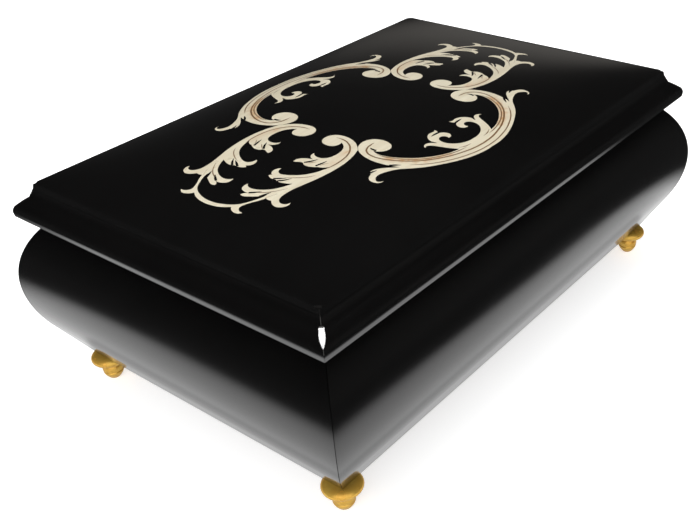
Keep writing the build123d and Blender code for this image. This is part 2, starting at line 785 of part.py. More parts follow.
pillar_radius = 2.5


def toothed_wheel(teeth, module, phase):
    """Closed outline with straight-flanked teeth; one tooth points along the phase angle."""
    pitch_radius = module * teeth / 2
    half_tooth = tooth_share * pi * module / 2
    slope = tan(radians(flank_angle))
    tip = tooth_addendum * module
    root = tooth_dedendum * module
    points = []
    for index in range(teeth):
        turn = radians(phase + index * 360 / teeth)
        for radius, half_width_here in (
            (pitch_radius - root, half_tooth + root * slope),
            (pitch_radius + tip, half_tooth - tip * slope),
        ):
            spread = half_width_here / radius
            sides = (-spread, spread) if radius > pitch_radius else (-spread,)
            points += [(radius * cos(turn + side), radius * sin(turn + side)) for side in sides]
        spread = (half_tooth + root * slope) / (pitch_radius - root)
        points.append(((pitch_radius - root) * cos(turn + spread), (pitch_radius - root) * sin(turn + spread)))
    with BuildSketch() as wheel:
        with BuildLine():
            Polyline(*points, close=True)
        make_face()
    return wheel.sketch


with BuildPart() as bedplate:
    block(
        (bedplate_middle_x - bedplate_width / 2, bedplate_middle_x + bedplate_width / 2),
        (bedplate_middle_y - bedplate_length / 2, bedplate_middle_y + bedplate_length / 2),
        (bedplate_bottom, bedplate_top),
    )
    fillet(bedplate.edges().filter_by(Axis.Z), 5)
    for x, y in bedplate_screw_points:
        upright(x, y, base_top, bedplate_bottom, bedplate_boss_radius)
        upright(x, y, base_top, bedplate_top - 1, bedplate_screw_radius, Mode.SUBTRACT)
    upright(movement_x, barrel_y, bedplate_bottom, bedplate_top, arbor_radius + running_clearance, Mode.SUBTRACT)
    for side in (-1, 1):
        upright(movement_x + side * pillar_reach, barrel_y, bedplate_top, bridge_bottom, pillar_radius)
        upright(movement_x + side * pillar_reach, barrel_y, bridge_bottom, bridge_top, pillar_radius / 2)
keep(bedplate.part, "bedplate")

with BuildPart() as bedplate_screws:
    for x, y in bedplate_screw_points:
        upright(x, y, foot_height, bedplate_top - 1, bedplate_screw_radius)
        upright(x, y, foot_height + 0.2, foot_height + bedplate_screw_head_height, bedplate_screw_head)
        with Locations((x, y, foot_height)):
            Box(2 * bedplate_screw_head, 0.8, 1.6, mode=Mode.SUBTRACT)
keep(bedplate_screws.part, "bedplate_screws")

# Spring barrel with its crown wheel, mainspring, winding arbor and key

with BuildPart() as spring_barrel:
    upright(movement_x, barrel_y, barrel_bottom, barrel_rim, barrel_radius)
    upright(
        movement_x, barrel_y, barrel_bottom + barrel_wall, barrel_rim, barrel_radius - barrel_wall, Mode.SUBTRACT
    )
    upright(
        movement_x, barrel_y, barrel_bottom, barrel_bottom + barrel_wall, arbor_radius + running_clearance,
        Mode.SUBTRACT,
    )
keep(spring_barrel.part, "spring_barrel")

crown_root_z = crown_pitch_z - tooth_dedendum * crown_module
crown_inner = crown_mean_radius - crown_face_width / 2
crown_outer = crown_mean_radius + crown_face_width / 2
crown_half_tooth = tooth_share * pi * crown_module / 2
flank_slope = tan(radians(flank_angle))

with BuildPart() as crown_wheel:
    upright(movement_x, barrel_y, barrel_rim, barrel_rim + barrel_wall / 2, barrel_radius)
    upright(movement_x, barrel_y, barrel_rim + barrel_wall / 2, crown_root_z, crown_outer)
    with BuildSketch(
        Plane(origin=(movement_x + crown_inner, barrel_y, crown_pitch_z), x_dir=(0, 1, 0), z_dir=(1, 0, 0))
    ) as tooth_section:
        with BuildLine():
            low = -tooth_dedendum * crown_module - 0.1
            high = tooth_addendum * crown_module
            Polyline(
                (-crown_half_tooth + low * flank_slope, low),
                (crown_half_tooth - low * flank_slope, low),
                (crown_half_tooth - high * flank_slope, high),
                (-crown_half_tooth + high * flank_slope, high),
                close=True,
            )
        make_face()
    tooth = extrude(tooth_section.sketch, amount=crown_face_width, mode=Mode.PRIVATE)
    centre_line = Axis((movement_x, barrel_y, 0), (0, 0, 1))
    add([tooth.rotate(centre_line, index * 360 / crown_teeth) for index in range(crown_teeth)])
    upright(movement_x, barrel_y, barrel_rim, crown_pitch_z, arbor_radius + running_clearance, Mode.SUBTRACT)
keep(crown_wheel.part, "crown_wheel")

spring_room = barrel_radius - barrel_wall - mainspring_thickness / 2 - mainspring_step / 2
first_turn_radius = spring_room - (mainspring_half_turns - 1) * mainspring_step

with BuildPart() as mainspring:
    with BuildSketch(Plane((movement_x, barrel_y, barrel_bottom + barrel_wall))):
        with BuildLine():
            ends = {}
            for offset_side in (-1, 1):
                for index in range(mainspring_half_turns):
                    middle = (mainspring_step / 2 if index % 2 else -mainspring_step / 2, 0)
                    radius = first_turn_radius + index * mainspring_step + offset_side * mainspring_thickness / 2
                    arc = CenterArc(middle, radius, 180 * (index % 2), 180)
                    ends.setdefault(offset_side, []).append(arc)
            Line(ends[-1][0] @ 0, ends[1][0] @ 0)
            Line(ends[-1][-1] @ 1, ends[1][-1] @ 1)
        make_face()
    extrude(amount=barrel_height - barrel_wall - 1)
keep(mainspring.part, "mainspring")

key_top = foot_height - 1.2
key_bottom = key_top - key_hub_height

with BuildPart() as winding_arbor:
    upright(movement_x, barrel_y, key_bottom + 2, bridge_top + axle_overhang, arbor_radius)
    upright(movement_x, barrel_y, bedplate_top + 0.2, barrel_bottom - 0.2, arbor_radius + 2)
keep(winding_arbor.part, "winding_arbor")

with BuildPart() as winding_key:
    upright(movement_x, barrel_y, key_bottom, key_top, key_hub_radius)
    with BuildSketch(across(barrel_y, movement_x, key_bottom + key_wing_height / 2)):
        SlotOverall(key_wing_length, key_wing_height)
        with GridLocations(key_wing_length - key_wing_height, 1, 2, 1):
            Circle(key_wing_height / 5, mode=Mode.SUBTRACT)
    extrude(amount=key_wing_thickness / 2, both=True)
    upright(movement_x, barrel_y, key_bottom + 2, key_top, arbor_radius, Mode.SUBTRACT)
keep(winding_key.part, "winding_key")

with BuildPart() as spring_bridge:
    with BuildSketch(Plane((movement_x, barrel_y, bridge_bottom))):
        SlotOverall(2 * (pillar_reach + 4), 9)
        Circle(arbor_radius + running_clearance, mode=Mode.SUBTRACT)
        with GridLocations(2 * pillar_reach, 1, 2, 1):
            Circle(pillar_radius / 2, mode=Mode.SUBTRACT)
    extrude(amount=plate_thickness)
keep(spring_bridge.part, "spring_bridge")

# Music cylinder on its axle, with the pinion that the spring drives and the gear for the governor

pinion_start = barrel_y + crown_inner
axle_start = pinion_start - 0.5
axle_end = front_plate_y + plate_thickness + axle_overhang

with BuildPart() as cylinder_axle:
    bar_along_y(movement_x, axis_z, axle_start, axle_end, cylinder_axle_radius)
    with BuildSketch(across(pinion_start, movement_x, axis_z)):
        add(toothed_wheel(pinion_teeth, crown_module, -90 + 180 / pinion_teeth))
    extrude(amount=-crown_face_width)
keep(cylinder_axle.part, "cylinder_axle")

with BuildPart() as music_cylinder:
    bar_along_y(movement_x, axis_z, cylinder_start, cylinder_end, cylinder_radius)
    bar_along_y(movement_x, axis_z, cylinder_start, cylinder_end, cylinder_axle_radius, Mode.SUBTRACT)
keep(music_cylinder.part, "music_cylinder")

comb_middle_y = (cylinder_start + cylinder_end) / 2
tooth_offsets = [(index - (comb_teeth - 1) / 2) * comb_tooth_pitch for index in range(comb_teeth)]

with BuildPart() as tune_pins:
    for row, offset in enumerate(tooth_offsets):
        for note in range(tune_pins_per_tooth):
            angle = 25 + (row * 47 + note * 83 + (row * note * 13) % 40) % 310
            out = Vector(cos(radians(angle)), 0, sin(radians(angle)))
            middle = Vector(movement_x, comb_middle_y + offset, axis_z)
            pin_plane = Plane(origin=middle + out * (cylinder_radius - 0.1), z_dir=out)
            with BuildSketch(pin_plane):
                Circle(tune_pin_radius)
            extrude(amount=tune_pin_height + 0.1)
    bar_along_y(movement_x, axis_z, cylinder_start, cylinder_end, cylinder_radius, Mode.SUBTRACT)
keep(tune_pins.part, "tune_pins")

with BuildPart() as cylinder_gear:
    with BuildSketch(across(train_y, movement_x, axis_z)):
        add(toothed_wheel(cylinder_gear_teeth, train_module, governor_angle))
        Circle(cylinder_axle_radius, mode=Mode.SUBTRACT)
    extrude(amount=-gear_thickness)
keep(cylinder_gear.part, "cylinder_gear")

with BuildPart() as cylinder_bearing:
    block((movement_x - 7, movement_x + 7), (bearing_y, bearing_y + plate_thickness), (bedplate_top, axis_z + 5))
    fillet(cylinder_bearing.faces().sort_by(Axis.Z)[-1].edges().filter_by(Axis.Y), 4)
    block((movement_x - 7, movement_x + 7), (bearing_y, bearing_y + 4.6), (bedplate_top, frame_foot_top))
    bar_along_y(
        movement_x, axis_z, bearing_y - 1, bearing_y + 6, cylinder_axle_radius + running_clearance, Mode.SUBTRACT
    )
keep(cylinder_bearing.part, "cylinder_bearing")

# Comb with one tooth for each note, on its base

tip_x = movement_x + cylinder_radius + tune_pin_height + tune_pin_gap
comb_root_x = tip_x + comb_tooth_length
comb_back_x = comb_root_x + comb_body_width
comb_length = comb_teeth * comb_tooth_pitch + 4
comb_bottom = axis_z - comb_body_thickness / 2
comb_ends = (comb_middle_y - comb_length / 2, comb_middle_y + comb_length / 2)
comb_screw_radius = 1.2
comb_screw_places = [(comb_root_x + comb_body_width / 2, comb_middle_y + offset) for offset in (-20, 0, 20)]

with BuildPart() as comb:
    block((comb_root_x, comb_back_x), comb_ends, (comb_bottom, comb_bottom + comb_body_thickness))
    with Locations((tip_x + comb_tooth_length / 2, comb_middle_y, axis_z)):
        with GridLocations(1, comb_tooth_pitch, 1, comb_teeth):
            Box(comb_tooth_length, comb_tooth_width, comb_tooth_thickness)
    for x, y in comb_screw_places:
        upright(x, y, comb_bottom, comb_bottom + comb_body_thickness, comb_screw_radius, Mode.SUBTRACT)
keep(comb.part, "comb")

with BuildPart() as comb_base:
    block((comb_root_x + 0.5, comb_back_x), comb_ends, (bedplate_top, comb_bottom))
    for x, y in comb_screw_places:
        upright(x, y, comb_bottom - 6, comb_bottom, comb_screw_radius, Mode.SUBTRACT)
keep(comb_base.part, "comb_base")

with BuildPart() as comb_screws:
    for x, y in comb_screw_places:
        comb_top = comb_bottom + comb_body_thickness
        upright(x, y, comb_bottom - 6, comb_top, comb_screw_radius)
        upright(x, y, comb_top, comb_top + 1.4, 2 * comb_screw_radius)
        with Locations((x, y, comb_top + 1.4)):
            Box(5 * comb_screw_radius, 0.6, 1.2, mode=Mode.SUBTRACT)
keep(comb_screws.part, "comb_screws")

# Governor: frame, geared wheel with worm wheel, and the fan on its worm shaft

frame_right = movement_x + 6.0
frame_left = fan_x - 7.0
bearing_hole = small_axle_radius + running_clearance

with BuildPart() as governor_frame:
    block((frame_left, frame_right), (front_plate_y, rear_plate_y + plate_thickness), (bedplate_top, frame_foot_top))
    block((frame_left, frame_right), (front_plate_y, front_plate_y + plate_thickness), (bedplate_top, axis_z + 6))
    block(
        (frame_left, governor_x + 5),
        (rear_plate_y, rear_plate_y + plate_thickness),
        (bedplate_top, governor_z + 6),
    )
    block(
        (fan_x - 4, fan_x + 4), (rear_plate_y, rear_plate_y + plate_thickness), (bedplate_top, arm_z + plate_thickness)
    )
    block((fan_x - 4, fan_x + 4), (fan_y - 4, rear_plate_y), (arm_z, arm_z + plate_thickness))
    bar_along_y(
        movement_x, axis_z, front_plate_y - 1, front_plate_y + 5, cylinder_axle_radius + running_clearance,
        Mode.SUBTRACT,
    )
    bar_along_y(governor_x, governor_z, front_plate_y - 1, rear_plate_y + 5, bearing_hole, Mode.SUBTRACT)
    upright(fan_x, fan_y, frame_foot_top - 1.5, arm_z + 5, bearing_hole, Mode.SUBTRACT)
keep(governor_frame.part, "governor_frame")

with BuildPart() as governor_axle:
    bar_along_y(governor_x, governor_z, train_y - 0.5, rear_plate_y + plate_thickness, small_axle_radius)
    with BuildSketch(across(train_y, governor_x, governor_z)):
        add(toothed_wheel(governor_pinion_teeth, train_module, governor_angle + 180 + 180 / governor_pinion_teeth))
    extrude(amount=-gear_thickness)
keep(governor_axle.part, "governor_axle")

with BuildPart() as worm_wheel:
    with BuildSketch(across(worm_wheel_y, governor_x, governor_z)):
        add(toothed_wheel(worm_wheel_teeth, worm_module, 0))
        with PolarLocations(worm_wheel_tip * 0.55, 4):
            Circle(worm_wheel_tip * 0.18, mode=Mode.SUBTRACT)
        Circle(small_axle_radius, mode=Mode.SUBTRACT)
    extrude(amount=-gear_thickness)
keep(worm_wheel.part, "worm_wheel")

with BuildPart() as worm_shaft:
    upright(fan_x, fan_y, frame_foot_top - 1.3, arm_z + plate_thickness, small_axle_radius)
    worm_bottom = governor_z - worm_height / 2
    with BuildSketch(across(fan_y, fan_x, worm_bottom)):
        with BuildLine():
            thread_count = 6
            thread_pitch = worm_height / thread_count
            profile = [(0, 0)]
            for index in range(thread_count):
                profile += [
                    (worm_radius - 0.5, index * thread_pitch),
                    (worm_radius, (index + 0.35) * thread_pitch),
                    (worm_radius, (index + 0.65) * thread_pitch),
                ]
            profile += [(worm_radius - 0.5, worm_height), (0, worm_height)]
            Polyline(*profile, close=True)
        make_face()
    revolve(axis=Axis((fan_x, fan_y, 0), (0, 0, 1)))
keep(worm_shaft.part, "worm_shaft")

with BuildPart() as fan:
    upright(fan_x, fan_y, fan_bottom, fan_top, 2 * small_axle_radius)
    with Locations((fan_x, fan_y, (fan_bottom + fan_top) / 2)):
        Box(2 * fan_radius, fan_thickness, fan_height - 2)
    upright(fan_x, fan_y, fan_bottom, fan_top, small_axle_radius, Mode.SUBTRACT)
keep(fan.part, "fan")

# Stop: a rod that the closed lid holds down, with an arm beside the fan

guide_top = fan_bottom - 1.0
rod_bottom = bedplate_top + 3.3
arm_bottom = fan_bottom + 2.0
arm_thickness = 1.6
brake_gap = 0.5

with BuildPart() as rod_guide:
    block((rod_x - 4, rod_x + 4), (rod_y - 4, rod_y + 4), (bedplate_top, guide_top))
    fillet(rod_guide.edges().filter_by(Axis.Z), 1.5)
    upright(rod_x, rod_y, rod_bottom - 0.3, guide_top, rod_radius + running_clearance, Mode.SUBTRACT)
keep(rod_guide.part, "rod_guide")

with BuildPart() as stop_rod:
    upright(rod_x, rod_y, rod_bottom, rim_top, rod_radius)
    fillet(stop_rod.faces().sort_by(Axis.Z)[-1].edges(), 1.0)
    brake_x = fan_x + fan_radius + brake_gap
    with BuildSketch(Plane.XY.offset(arm_bottom)):
        with BuildLine():
            Polyline(
                (brake_x, fan_y - 1.5),
                (brake_x, fan_y + 1.5),
                (rod_x - 2, rod_y + 2.2),
                (rod_x - 1, rod_y - 2.4),
                close=True,
            )
        make_face()
        with Locations((rod_x, rod_y)):
            Circle(rod_radius + 2)
    extrude(amount=arm_thickness)
keep(stop_rod.part, "stop_rod")
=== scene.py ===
import json
from math import asin, copysign, cos, degrees, exp, hypot, pi, radians, sin

import bmesh
import bpy
from mathutils import Matrix, Vector, noise


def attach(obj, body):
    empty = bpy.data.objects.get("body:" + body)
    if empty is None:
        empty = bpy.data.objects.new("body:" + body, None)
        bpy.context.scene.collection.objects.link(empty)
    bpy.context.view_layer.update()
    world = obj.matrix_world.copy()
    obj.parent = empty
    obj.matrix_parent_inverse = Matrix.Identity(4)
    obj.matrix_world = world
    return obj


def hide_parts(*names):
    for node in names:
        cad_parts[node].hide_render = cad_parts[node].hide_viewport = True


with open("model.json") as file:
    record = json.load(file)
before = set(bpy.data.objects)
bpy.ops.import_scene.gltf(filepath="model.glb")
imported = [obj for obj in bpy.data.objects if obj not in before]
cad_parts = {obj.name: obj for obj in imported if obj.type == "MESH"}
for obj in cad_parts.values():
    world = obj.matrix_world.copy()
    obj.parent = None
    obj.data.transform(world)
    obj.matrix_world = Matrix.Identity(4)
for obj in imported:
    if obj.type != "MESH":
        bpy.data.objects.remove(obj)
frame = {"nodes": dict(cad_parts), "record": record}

nodes = frame["nodes"]
slotOf = {part["node"]: part["material_slot"] for part in frame["record"]["subparts"]}
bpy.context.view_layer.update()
print("frame loaded:", len(nodes), "nodes")

# Pieces are shaped in millimetres, in the box's own frame, and turned to metres at the end

mm = 0.001
closeBy = 0.01  # places this near to each other count as one
weld = 0.001  # vertices this near to each other are merged
finishes = {}  # the record's material slots and their materials
replacedNodes = set()


def scaleAll(bm, factor):
    bmesh.ops.scale(bm, vec=(factor, factor, factor), verts=bm.verts)


def finishPiece(bm, name, body, slotName, replaced, more=(), sharpAngle=32, keepNormals=False):
    # the slot's own material comes first, and more are those that follow it
    scaleAll(bm, mm)
    if not keepNormals:
        bmesh.ops.recalc_face_normals(bm, faces=bm.faces)
    mesh = bpy.data.meshes.new(name)
    bm.to_mesh(mesh)
    bm.free()
    for each in (finishes[slotName], *more):
        mesh.materials.append(each)
    mesh.polygons.foreach_set("use_smooth", [True] * len(mesh.polygons))
    mesh.set_sharp_from_angle(angle=radians(sharpAngle))
    piece = bpy.data.objects.new(name, mesh)
    bpy.context.scene.collection.objects.link(piece)
    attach(piece, body)
    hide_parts(*replaced)
    replacedNodes.update(replaced)
    return piece


def boxInto(bm, low, high):
    low, high = Vector(low), Vector(high)
    place = Matrix.Translation((low + high) / 2) @ Matrix.Diagonal((*(high - low), 1))
    bmesh.ops.create_cube(bm, size=1, matrix=place)


def rectangleInto(bm, halfX, halfY, cornerCut=0.0):
    # one flat face and its border edges come back
    verts = bmesh.ops.create_grid(bm, x_segments=1, y_segments=1, size=1)["verts"]
    bmesh.ops.scale(bm, vec=(halfX, halfY, 1), verts=verts)
    face = verts[0].link_faces[0]
    if cornerCut:
        cut = bmesh.ops.bevel(bm, geom=verts, offset=cornerCut, offset_type="OFFSET", segments=1,
                              profile=0.5, affect="VERTICES", material=-1)
        face = max(cut["verts"][0].link_faces, key=lambda each: each.calc_area())
    return face, list(face.edges)


def extrudeRing(bm, edges):
    # the new ring's edges and vertices come back
    grown = bmesh.ops.extrude_edge_only(bm, edges=edges)["geom"]
    fresh = {item for item in grown if isinstance(item, bmesh.types.BMVert)}
    ring = [item for item in grown
            if isinstance(item, bmesh.types.BMEdge) and set(item.verts) <= fresh]
    return ring, fresh


def growRings(bm, edges, rings, ease=None):
    # each ring is (how far out from the last, its height); ease gives how much of its corners is
    # cut off at a height
    corners = [max(abs(vert.co[axis]) for edge in edges for vert in edge.verts)
               for axis in (0, 1)]
    eased = corners[0] - min(abs(vert.co.x) for edge in edges for vert in edge.verts)
    for out, height in rings:
        edges, fresh = extrudeRing(bm, edges)
        size = ease(height) / eased if ease else 1
        for vert in fresh:
            reach = [corner + out - size * (corner - abs(part))
                     for corner, part in zip(corners, vert.co)]
            vert.co = (copysign(reach[0], vert.co.x), copysign(reach[1], vert.co.y), height)
        corners = [corner + out for corner in corners]
        eased *= size
    return edges


def ringSteps(points):
    # a moulding's outline of (reach, height) as steps from ring to ring
    return [(now[0] - before[0], now[1]) for before, now in zip(points, points[1:])]


def arcPoints(centre, radius, start, sweep, steps):
    turns = [radians(start + sweep * index / steps) for index in range(steps + 1)]
    return [(centre[0] + radius * cos(turn), centre[1] + radius * sin(turn)) for turn in turns]


def lineTo(bm, vert, *points):
    for point in points:
        vert = bmesh.ops.extrude_vert_indiv(bm, verts=[vert])["verts"][0]
        vert.co = point
    return vert


def arcTo(bm, vert, centre, sweep, steps):
    # arc in the XZ plane, counted from +X towards +Z
    last = bmesh.ops.spin(bm, geom=[vert], cent=(centre[0], vert.co.y, centre[1]),
                          axis=(0, -1, 0), angle=radians(sweep), steps=steps,
                          use_duplicate=False)["geom_last"]
    return next(item for item in last if isinstance(item, bmesh.types.BMVert))


def turnRound(bm, geometry, steps):
    bmesh.ops.spin(bm, geom=geometry, cent=(0, 0, 0), axis=(0, 0, 1), angle=radians(360),
                   steps=steps, use_merge=True, use_duplicate=False)


def cutAway(piece, cutter):
    scaleAll(cutter, mm)
    mesh = bpy.data.meshes.new("cutter")
    cutter.to_mesh(mesh)
    cutter.free()
    tool = bpy.data.objects.new("cutter", mesh)
    bpy.context.scene.collection.objects.link(tool)
    cut = piece.modifiers.new("cut", "BOOLEAN")
    cut.operation = "DIFFERENCE"
    cut.solver = "EXACT"
    cut.object = tool
    graph = bpy.context.evaluated_depsgraph_get()
    old = piece.data
    piece.data = bpy.data.meshes.new_from_object(piece.evaluated_get(graph))
    piece.modifiers.clear()
    piece.data.name = piece.name
    bpy.data.meshes.remove(old)
    bpy.data.objects.remove(tool)
    bpy.data.meshes.remove(mesh)


# Shader helpers


def addNode(tree, kind, inputs=None, **settings):
    node = tree.nodes.new(kind)
    for key, value in settings.items():
        setattr(node, key, value)
    for key, value in (inputs or {}).items():
        if isinstance(value, bpy.types.NodeSocket):
            tree.links.new(value, node.inputs[key])
        else:
            node.inputs[key].default_value = value
    return node


def newGroup(name, inputs, outputs):
    # the group comes back with the sockets that it is given and those that it puts out
    group = bpy.data.node_groups.new(name, "ShaderNodeTree")
    for label, value in inputs.items():
        socket = group.interface.new_socket(label, in_out="INPUT", socket_type="NodeSocketFloat")
        socket.default_value = value
    for label in outputs:
        group.interface.new_socket(label, in_out="OUTPUT", socket_type="NodeSocketFloat")
    given = group.nodes.new("NodeGroupInput").outputs
    return group, given, group.nodes.new("NodeGroupOutput").inputs


def blotches(tree, scale, detail=3.0, stretch=(1, 1, 1), roughness=0.5):
    # noise on Object coordinates; its scale is in waves per metre
    place = addNode(tree, "ShaderNodeTexCoord").outputs["Object"]
    mapping = addNode(tree, "ShaderNodeMapping", {"Vector": place, "Scale": stretch})
    inputs = {"Vector": mapping.outputs["Vector"], "Scale": scale, "Detail": detail,
              "Roughness": roughness}
    return addNode(tree, "ShaderNodeTexNoise", inputs).outputs["Fac"]


def remap(tree, value, low, high, newLow, newHigh, smooth=False):
    inputs = {"Value": value, "From Min": low, "From Max": high, "To Min": newLow,
              "To Max": newHigh}
    kind = "SMOOTHSTEP" if smooth else "LINEAR"
    return addNode(tree, "ShaderNodeMapRange", inputs, interpolation_type=kind).outputs["Result"]


def combine(tree, how, first, second=0.0):
    return addNode(tree, "ShaderNodeMath", {0: first, 1: second}, operation=how).outputs[0]


def vary(tree, base, wave, amount):
    return combine(tree, "ADD", base, combine(tree, "MULTIPLY", wave, amount))


def weigh(tree, first, firstShare, second, secondShare):
    return vary(tree, combine(tree, "MULTIPLY", first, firstShare), second, secondShare)


def mixColour(tree, mask, first, second, **settings):
    # sockets 0, 6 and 7 of a colour Mix are its factor, A and B
    return addNode(tree, "ShaderNodeMix", {0: mask, 6: first, 7: second}, data_type="RGBA",
                   **settings).outputs[2]


# Groups that the finishes share: scales are in waves per metre, and a span is the part of the
# noise that is spread over the whole range

skinLook = {"smearScale": 26.0, "smearDetail": 4.0, "smearSpan": (0.3, 0.7), "peelDetail": 1.5}


def skinNodes():
    look = skinLook
    group, given, put = newGroup("skin", {"Gloss": 0.25, "Haze": 0.04, "Peel": 900.0},
                                 ("Roughness", "Height"))
    smear = blotches(group, look["smearScale"], look["smearDetail"])
    smear = remap(group, smear, *look["smearSpan"], -1.0, 1.0)
    group.links.new(vary(group, given["Gloss"], smear, given["Haze"]), put["Roughness"])
    group.links.new(blotches(group, given["Peel"], look["peelDetail"]), put["Height"])
    return group


metalSkinLook = {"cloudScale": 160.0, "cloudDetail": 4.0, "cloudSpan": (0.35, 0.65),
                 "markDetail": 2.0, "markStretch": (1.0, 0.12, 1.0)}


def metalSkinNodes():
    look = metalSkinLook
    group, given, put = newGroup("metalSkin", {"Gloss": 0.2, "Spread": 0.06, "Marks": 1400.0},
                                 ("Roughness", "Tarnish", "Height"))
    cloud = blotches(group, look["cloudScale"], look["cloudDetail"])
    cloud = remap(group, cloud, *look["cloudSpan"], 0.0, 1.0)
    marks = blotches(group, given["Marks"], look["markDetail"], look["markStretch"])
    group.links.new(vary(group, given["Gloss"], cloud, given["Spread"]), put["Roughness"])
    group.links.new(cloud, put["Tarnish"])
    group.links.new(marks, put["Height"])
    return group


fibreLook = {"fibreDetail": 5.0, "fibreStretch": (0.05, 1.0, 1.0), "fibreRoughness": 0.62,
             "fibreShare": 0.65, "flameScale": 34.0, "flameDetail": 2.0,
             "flameStretch": (0.2, 1.0, 1.0), "flameShare": 0.35, "grainSpan": (0.36, 0.64)}


def woodFibreNodes():
    look = fibreLook
    group, given, put = newGroup("woodFibre", {"Fineness": 260.0}, ("Grain", "Height"))
    fibre = blotches(group, given["Fineness"], look["fibreDetail"], look["fibreStretch"],
                     look["fibreRoughness"])
    flame = blotches(group, look["flameScale"], look["flameDetail"], look["flameStretch"])
    grain = weigh(group, fibre, look["fibreShare"], flame, look["flameShare"])
    group.links.new(remap(group, grain, *look["grainSpan"], 0.0, 1.0), put["Grain"])
    group.links.new(fibre, put["Height"])
    return group


pileLook = {"strokeScale": 38.0, "strokeDetail": 3.0, "strokeStretch": (1.0, 0.5, 1.0),
            "strokeSpan": (0.36, 0.64), "strokeShare": 0.55, "tuftDetail": 2.0,
            "tuftShare": 0.45, "napSpan": (0.2, 0.8)}


def velvetPileNodes():
    look = pileLook
    group, given, put = newGroup("velvetPile", {"Pile": 2600.0}, ("Nap", "Height"))
    stroke = blotches(group, look["strokeScale"], look["strokeDetail"], look["strokeStretch"])
    stroke = remap(group, stroke, *look["strokeSpan"], 0.0, 1.0, True)
    tuft = blotches(group, given["Pile"], look["tuftDetail"])
    nap = weigh(group, stroke, look["strokeShare"], tuft, look["tuftShare"])
    group.links.new(remap(group, nap, *look["napSpan"], 0.0, 1.0), put["Nap"])
    group.links.new(tuft, put["Height"])
    return group


skinGroup, metalGroup = skinNodes(), metalSkinNodes()
woodGroup, pileGroup = woodFibreNodes(), velvetPileNodes()


def newFinish(name, settings):
    material = bpy.data.materials.new(name)
    material.use_nodes = True
    tree = material.node_tree
    shader = tree.nodes["Principled BSDF"]
    for label, value in settings.items():
        shader.inputs[label].default_value = value
    return material, tree, shader


def useGroup(tree, group, **inputs):
    return addNode(tree, "ShaderNodeGroup", inputs, node_tree=group).outputs


def connect(tree, shader, colour, roughness, height, bump):
    # bump is (its depth in metres, its strength)
    tree.links.new(colour, shader.inputs["Base Color"])
    if roughness is not None:
        tree.links.new(roughness, shader.inputs["Roughness"])
    if bump is not None:
        inputs = {"Height": height, "Distance": bump[0], "Strength": bump[1]}
        normal = addNode(tree, "ShaderNodeBump", inputs).outputs["Normal"]
        tree.links.new(normal, shader.inputs["Normal"])


# Smooth finishes: a faint tint in slow blotches under the skin

lacquerSurface = {"colour": (0.0018, 0.0017, 0.0017, 1), "tint": (0.0032, 0.003, 0.0029, 1),
                  "tintScale": 30.0, "haze": 0.02, "peel": 700.0, "bump": (0.00001, 0.35),
                  "settings": {"IOR": 1.5, "Specular IOR Level": 0.55, "Coat Weight": 0.7,
                               "Coat Roughness": 0.13, "Coat IOR": 1.5}}
plasticSurface = {"tintScale": 90.0, "haze": 0.03, "peel": 500.0, "bump": (0.00001, 0.3),
                  "settings": {}}
smoothLooks = {
    "black_lacquer": {**lacquerSurface, "name": "satinBlackLacquer", "gloss": 0.24},
    "black_veneer": {**lacquerSurface, "name": "lacqueredGround", "gloss": 0.22},
    "white_plastic": {**plasticSurface, "name": "mouldedWhite", "gloss": 0.4,
                      "colour": (0.80, 0.78, 0.72, 1), "tint": (0.76, 0.74, 0.67, 1)},
    "clear_plastic": {**plasticSurface, "name": "clearCover", "gloss": 0.06,
                      "colour": (0.95, 0.98, 0.985, 1), "tint": (0.93, 0.97, 0.98, 1),
                      "settings": {"IOR": 1.49, "Transmission Weight": 1.0}},
    "looking_glass": {"name": "silveredGlass", "gloss": 0.035, "haze": 0.02, "peel": 60.0,
                      "colour": (0.86, 0.89, 0.90, 1), "tint": (0.82, 0.85, 0.86, 1),
                      "tintScale": 14.0, "bump": None,
                      "settings": {"Metallic": 1.0, "Coat Weight": 0.5,
                                   "Coat Roughness": 0.02}},
}


def smoothFinish(look):
    material, tree, shader = newFinish(look["name"], look["settings"])
    skin = useGroup(tree, skinGroup, Gloss=look["gloss"], Haze=look["haze"], Peel=look["peel"])
    colour = mixColour(tree, blotches(tree, look["tintScale"]), look["colour"], look["tint"])
    connect(tree, shader, colour, skin["Roughness"], skin["Height"], look["bump"])
    return material


for slotName, look in smoothLooks.items():
    finishes[slotName] = smoothFinish(look)

# Grained finishes: two tones of wood under the skin, and the inlay's sand shading on top

woodSurface = {"fineness": 240.0, "haze": 0.06, "peel": 900.0, "bump": (0.00005, 0.5),
               "settings": {"IOR": 1.48}}
inlaySurface = {"fineness": 420.0, "gloss": 0.3, "haze": 0.03, "peel": 700.0,
                "bump": (0.00001, 0.3),
                "settings": {"IOR": 1.5, "Specular IOR Level": 0.45, "Coat Weight": 0.6,
                             "Coat Roughness": 0.13}}
grainedLooks = {
    "ivory_veneer": {**inlaySurface, "name": "ivoryVeneer", "pale": (0.71, 0.655, 0.51, 1),
                     "dark": (0.62, 0.55, 0.405, 1), "scorched": (0.52, 0.24, 0.07, 1),
                     "spotScale": 700.0, "spotSpan": (0.35, 0.65), "spotLeast": 0.55},
    "base_board": {**woodSurface, "name": "stainedBase", "gloss": 0.6,
                   "pale": (0.13, 0.085, 0.055, 1), "dark": (0.065, 0.04, 0.026, 1)},
    "inner_board": {**woodSurface, "name": "stainedInside", "gloss": 0.5,
                    "pale": (0.17, 0.105, 0.065, 1), "dark": (0.09, 0.05, 0.03, 1)},
    "frame_paint": {**woodSurface, "name": "paintedFrame", "gloss": 0.32, "fineness": 300.0,
                    "pale": (0.034, 0.032, 0.031, 1), "dark": (0.022, 0.02, 0.02, 1),
                    "settings": {"IOR": 1.48, "Coat Weight": 0.3}},
}
